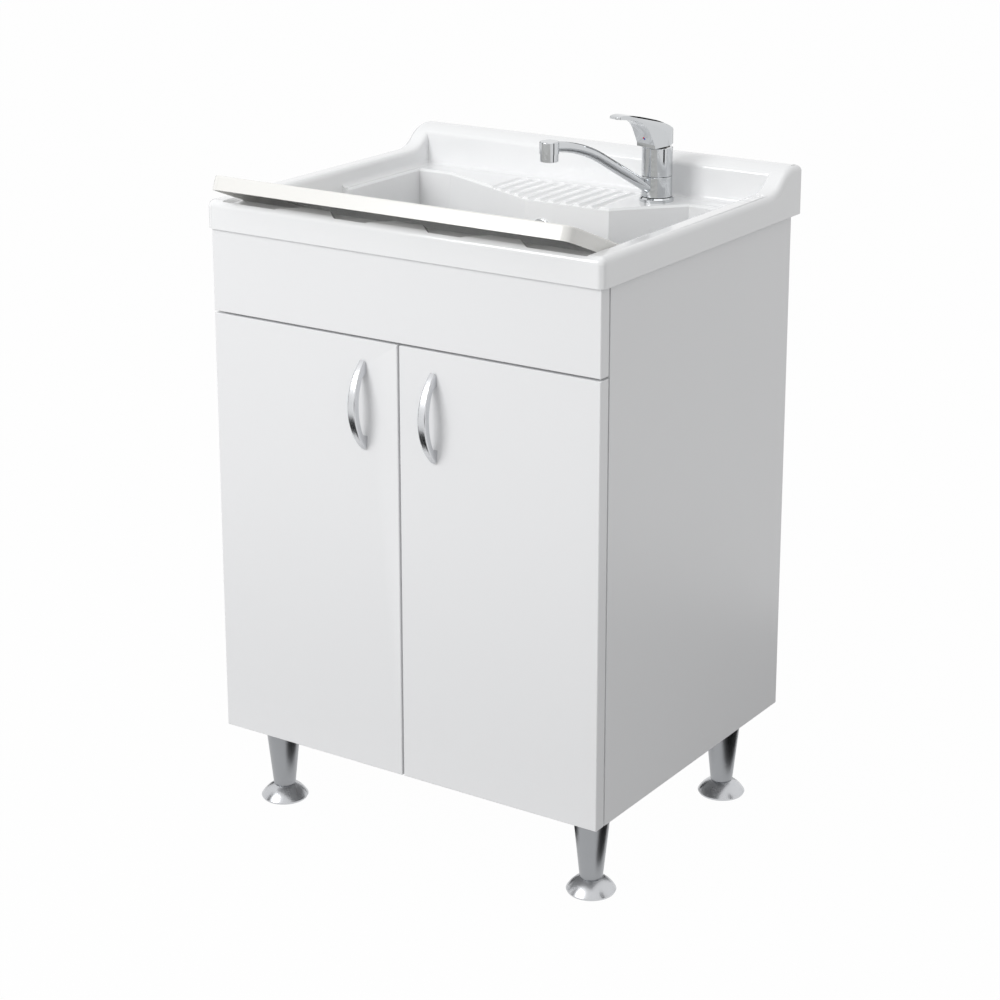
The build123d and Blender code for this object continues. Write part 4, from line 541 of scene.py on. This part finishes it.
def head_points(node, facing, head_height):
    """A mesh of one point for each screw of a node: under its head, with its facing and measures."""
    boxes = island_boxes(node)
    mesh = bpy.data.meshes.new(f"{node}_points")
    axis = max(range(3), key=lambda index: abs(facing[index]))
    across = (axis + 1) % 3
    places = []
    for lowest, highest in boxes:
        place = (lowest + highest) / 2
        place[axis] = (highest if facing[axis] > 0 else lowest)[axis] - facing[axis] * head_height
        places.append(place)
    mesh.from_pydata(places, [], [])
    directions = mesh.attributes.new("facing", "FLOAT_VECTOR", "POINT")
    radii = mesh.attributes.new("head_radius", "FLOAT", "POINT")
    lengths = mesh.attributes.new("shank_length", "FLOAT", "POINT")
    for index, (lowest, highest) in enumerate(boxes):
        directions.data[index].vector = facing
        radii.data[index].value = (highest - lowest)[across] / 2
        lengths.data[index].value = (highest - lowest)[axis] - head_height
    return mesh


def grown(points, tree, values, name):
    """Runs a node tree on a mesh of points and returns the result as a plain mesh object."""
    carrier = bpy.data.objects.new(f"{name}_carrier", points)
    bpy.context.scene.collection.objects.link(carrier)
    modifier = carrier.modifiers.new("growth", "NODES")
    modifier.node_group = tree
    for identifier, value in values.items():
        modifier[identifier] = value
    bpy.context.view_layer.update()
    evaluated = carrier.evaluated_get(bpy.context.evaluated_depsgraph_get())
    mesh = bpy.data.meshes.new_from_object(evaluated)
    bpy.data.objects.remove(carrier)
    mesh.name = name
    return placed(name, mesh)


# ---- Operators ----------------------------------------------------------------------------------

class DressSinkTop(bpy.types.Operator):
    """Gives the moulded sink top its gloss"""
    bl_idname = "laundry_sink.dress_sink_top"
    bl_label = "Sink top"

    def execute(self, context):
        dress(glossy_moulding(context.scene.sink_colours), "sink_top")
        return {"FINISHED"}


class DressWashboard(bpy.types.Operator):
    """Gives the washboard its warmer white"""
    bl_idname = "laundry_sink.dress_washboard"
    bl_label = "Washboard"

    def execute(self, context):
        dress(board_moulding(context.scene.sink_colours), "washboard")
        return {"FINISHED"}


class BuildBoards(bpy.types.Operator):
    """Replaces the cabinet's boards by copies with softly banded edges"""
    bl_idname = "laundry_sink.build_boards"
    bl_label = "Cabinet boards"

    def execute(self, context):
        faced = laminate(context.scene.sink_colours)
        for board in BOARDS:
            rounded_copy(board, f"{board}_faced", faced, context.scene.sink_sizes.board_round)
        return {"FINISHED"}


class DressHandles(bpy.types.Operator):
    """Gives the bow handles their satin brushing"""
    bl_idname = "laundry_sink.dress_handles"
    bl_label = "Handles"

    def execute(self, context):
        dress(satin_handle(context.scene.sink_colours), *(f"handle_{side}" for side in SIDES))
        return {"FINISHED"}


class DressHinges(bpy.types.Operator):
    """Plates the concealed hinges and dresses the doors' pads"""
    bl_idname = "laundry_sink.dress_hinges"
    bl_label = "Hinges and door pads"

    def execute(self, context):
        colours = context.scene.sink_colours
        dress(plated_steel("nickel_plate", colours.steel, 0.28), "hinge_cups_left", "hinge_cups_right",
              "hinge_arms", "hinge_plates")
        dress(moulded_rubber("clear_pads", colours.pads), "door_pads")
        return {"FINISHED"}


class DressLegs(bpy.types.Operator):
    """Gives the legs and feet their turned satin metal"""
    bl_idname = "laundry_sink.dress_legs"
    bl_label = "Legs and feet"

    def execute(self, context):
        colours = context.scene.sink_colours
        dress(turned_metal("satin_leg", colours.leg, 0.3), *(f"leg_{corner}" for corner in CORNERS))
        dress(turned_metal("satin_foot", colours.foot, 0.26), *(f"foot_{corner}" for corner in CORNERS))
        dress(moulded_plastic("black_plastic", colours.black), "leg_plates", "fascia_spacers")
        return {"FINISHED"}


class DressTap(bpy.types.Operator):
    """Polishes the tap and the overflow ring, and dresses what the tap holds"""
    bl_idname = "laundry_sink.dress_tap"
    bl_label = "Mixer tap"

    def execute(self, context):
        colours = context.scene.sink_colours
        dress(polished_chrome(colours), "tap_base_ring", "tap_body", "tap_spout", "tap_aerator", "tap_lever",
              "overflow_rosette")
        dress(turned_brass(colours), "tap_nut")
        # painted shade: the brass cartridge nut and spindle get a near black colour for the shade under the
        # lever
        dress(plated_steel("brass_with_painted_shade", colours.brass_painted_dark, 0.35), "cartridge_nut", "tap_spindle")
        dress(moulded_plastic("cartridge_plastic", colours.waste), "tap_cartridge")
        dress(index_enamel(colours), "index_button")
        dress(plated_steel("zinc_plate", colours.steel, 0.36), "tap_stud", "tap_clamp", "lift_pin")
        dress(moulded_rubber("seal_rubber", colours.black), "tap_gasket", "waste_seal")
        return {"FINISHED"}


class DressWaste(bpy.types.Operator):
    """Dresses the strainer, the trap and the pipes"""
    bl_idname = "laundry_sink.dress_waste"
    bl_label = "Waste and overflow"

    def execute(self, context):
        colours = context.scene.sink_colours
        dress(moulded_plastic("waste_plastic", colours.waste), "waste_body", "bottle_trap", "trap_cup",
              "trap_nuts", "outlet_pipe", "overflow_elbow", "overflow_pipe")
        dress(plated_steel("strainer_steel", colours.steel, 0.18), "waste_strainer", "waste_screw",
              "overflow_screw")
        return {"FINISHED"}


class BuildScrews(bpy.types.Operator):
    """Sets cross recessed pan head screws where the cabinet's screws are"""
    bl_idname = "laundry_sink.build_screws"
    bl_label = "Screws"

    def execute(self, context):
        sizes = context.scene.sink_sizes
        zinc = plated_steel("zinc_screws", context.scene.sink_colours.steel, 0.3)
        tree, inputs = screw_tree()
        values = {
            inputs["Head Height"]: sizes.head_height,
            inputs["Shank Radius"]: sizes.shank_radius,
            inputs["Recess Width"]: sizes.recess_width,
            inputs["Material"]: zinc,
        }
        for node, facing in SCREW_HEADS.items():
            points = head_points(node, Vector(facing), sizes.head_height)
            stand_for(grown(points, tree, values, f"{node}_set"), node)
        dress(zinc, "hinge_screws")
        return {"FINISHED"}


class BuildStudio(bpy.types.Operator):
    """Sets the pale floor, the soft light and the camera"""
    bl_idname = "laundry_sink.build_studio"
    bl_label = "Studio and camera"

    def execute(self, context):
        studio = context.scene.sink_studio
        context.scene.view_settings.view_transform = "Standard"
        build_floor(studio)
        build_sky(studio)
        build_lamp("key_lamp", studio.key_power)
        build_lamp("top_lamp", studio.top_power)
        build_dark_cards()
        build_camera(studio)
        return {"FINISHED"}


# ---- Studio -------------------------------------------------------------------------------------

def matt(name, colour, roughness):
    """A plain material without gloss, for the studio."""
    material = bpy.data.materials.new(name)
    material.use_nodes = True
    shader = material.node_tree.nodes["Principled BSDF"]
    shader.inputs["Base Color"].default_value = (*colour, 1)
    shader.inputs["Roughness"].default_value = roughness
    shader.inputs["Specular IOR Level"].default_value = 0
    return material


def seen_directly(tree):
    """A value that is 1 for the rays that show the background: camera, glossy and transmission rays."""
    path = tree.nodes.new("ShaderNodeLightPath")
    total = path.outputs["Is Camera Ray"]
    for output in ("Is Glossy Ray", "Is Transmission Ray"):
        add = add_node(tree, "ShaderNodeMath", operation="MAXIMUM")
        tree.links.new(total, add.inputs[0])
        tree.links.new(path.outputs[output], add.inputs[1])
        total = add.outputs["Value"]
    return total


def build_floor(studio):
    """A wide floor just under the feet, mostly white to the camera, which keeps a soft shadow."""
    material = matt("pale_floor", studio.floor_colour, 0.9)
    tree = material.node_tree
    white = tree.nodes.new("ShaderNodeEmission")
    share = add_node(tree, "ShaderNodeMath", {1: studio.floor_white}, operation="MULTIPLY")
    mix = tree.nodes.new("ShaderNodeMixShader")
    link = tree.links.new
    link(seen_directly(tree), share.inputs[0])
    link(share.outputs["Value"], mix.inputs[0])
    link(tree.nodes["Principled BSDF"].outputs["BSDF"], mix.inputs[1])
    link(white.outputs["Emission"], mix.inputs[2])
    link(mix.outputs["Shader"], tree.nodes["Material Output"].inputs["Surface"])
    shape = bmesh.new()
    bmesh.ops.create_grid(shape, x_segments=1, y_segments=1, size=FLOOR_REACH)
    mesh_piece("studio_floor", shape, material)


def build_sky(studio):
    """Even light from all round, and plain white where the background shows."""
    world = bpy.data.worlds.new("studio_sky")
    world.use_nodes = True
    tree = world.node_tree
    sky = tree.nodes["Background"]
    sky.inputs["Color"].default_value = (1, 1, 1, 1)
    strength = add_node(tree, "ShaderNodeMapRange", {"To Min": studio.sky_level, "To Max": 1})
    tree.links.new(seen_directly(tree), strength.inputs["Value"])
    tree.links.new(strength.outputs["Result"], sky.inputs["Strength"])
    bpy.context.scene.world = world


def aimed(place, target):
    """A matrix at a place whose -Z looks at the target."""
    place = Vector(place)
    turn = (Vector(target) - place).to_track_quat("-Z", "Y")
    return Matrix.Translation(place) @ turn.to_matrix().to_4x4()


def build_lamp(name, power):
    """A large soft lamp aimed at the sink."""
    size, place, target = LAMPS[name]
    lamp = bpy.data.lights.new(name, "AREA")
    lamp.energy = power
    lamp.size = size
    holder = bpy.data.objects.new(name, lamp)
    holder.matrix_world = aimed(place, target)
    bpy.context.scene.collection.objects.link(holder)


def build_dark_cards():
    """Dark cards that only polished surfaces see, for the streaks in the chrome and the legs."""
    cards = {}
    for name, (bearing, distance, middle, width, height) in DARK_CARDS.items():
        angle = math.radians(bearing)
        place = Vector((distance * math.cos(angle), distance * math.sin(angle), middle))
        cards[name] = (width, height, aimed(place, (0, 0, middle)))
    for name, (left, right, front, rear) in FLOOR_CARDS.items():
        place = Vector(((left + right) / 2, (front + rear) / 2, FLOOR_CARD_HEIGHT))
        cards[name] = (right - left, rear - front, Matrix.Translation(place))
    material = matt("dark_card", CARD_BLACK, 1)
    for name, (width, height, placement) in cards.items():
        shape = bmesh.new()
        bmesh.ops.create_grid(shape, x_segments=1, y_segments=1, size=0.5)
        bmesh.ops.scale(shape, vec=(width, height, 1), verts=shape.verts)
        bmesh.ops.transform(shape, matrix=placement, verts=shape.verts)
        card = mesh_piece(name, shape, material)
        card.visible_camera = False
        card.visible_diffuse = False
        card.visible_transmission = False
        card.visible_shadow = False


def build_camera(studio):
    """The camera at the photograph's place, looking the photograph's way."""
    camera = bpy.data.cameras.new("camera")
    camera.sensor_width = FRAME_WIDTH
    camera.lens = studio.camera_lens
    camera.shift_y = studio.camera_shift
    camera.clip_end = SIGHT
    holder = bpy.data.objects.new("camera", camera)
    tip_up = Matrix.Rotation(math.pi / 2 - studio.camera_pitch, 4, "X")
    turn = Matrix.Rotation(-studio.camera_heading, 4, "Z")
    roll = Matrix.Rotation(studio.camera_roll, 4, "Z")
    holder.matrix_world = Matrix.Translation(studio.camera_place) @ turn @ tip_up @ roll
    bpy.context.scene.collection.objects.link(holder)
    bpy.context.scene.camera = holder


# ---- Sidebar, registration and the run ----------------------------------------------------------

PIECES = (DressSinkTop, DressWashboard, BuildBoards, DressHandles, DressHinges, DressLegs, DressTap,
          DressWaste, BuildScrews, BuildStudio)
GROUPS = {"sink_colours": SinkColours, "sink_sizes": SinkSizes, "sink_studio": SinkStudio}


class LaundrySinkPanel(bpy.types.Panel):
    """Lists the laundry sink's pieces and their values"""
    bl_idname = "VIEW3D_PT_laundry_sink"
    bl_label = "Laundry sink"
    bl_space_type = "VIEW_3D"
    bl_region_type = "UI"
    bl_category = "Laundry sink"

    def draw(self, context):
        for piece in PIECES:
            self.layout.operator(piece.bl_idname)
        for name, group in GROUPS.items():
            box = self.layout.box()
            for value in group.__annotations__:
                box.prop(getattr(context.scene, name), value)


def register():
    for group in GROUPS.values():
        bpy.utils.register_class(group)
    for piece in PIECES:
        bpy.utils.register_class(piece)
    bpy.utils.register_class(LaundrySinkPanel)
    for name, group in GROUPS.items():
        setattr(bpy.types.Scene, name, bpy.props.PointerProperty(type=group))


def unregister():
    for name in GROUPS:
        delattr(bpy.types.Scene, name)
    bpy.utils.unregister_class(LaundrySinkPanel)
    for piece in reversed(PIECES):
        bpy.utils.unregister_class(piece)
    for group in GROUPS.values():
        bpy.utils.unregister_class(group)


def main():
    register()
    for piece in PIECES:
        operator = getattr(bpy.ops.laundry_sink, piece.bl_idname.split(".")[1])
        operator()


if __name__ == "__main__":
    main()
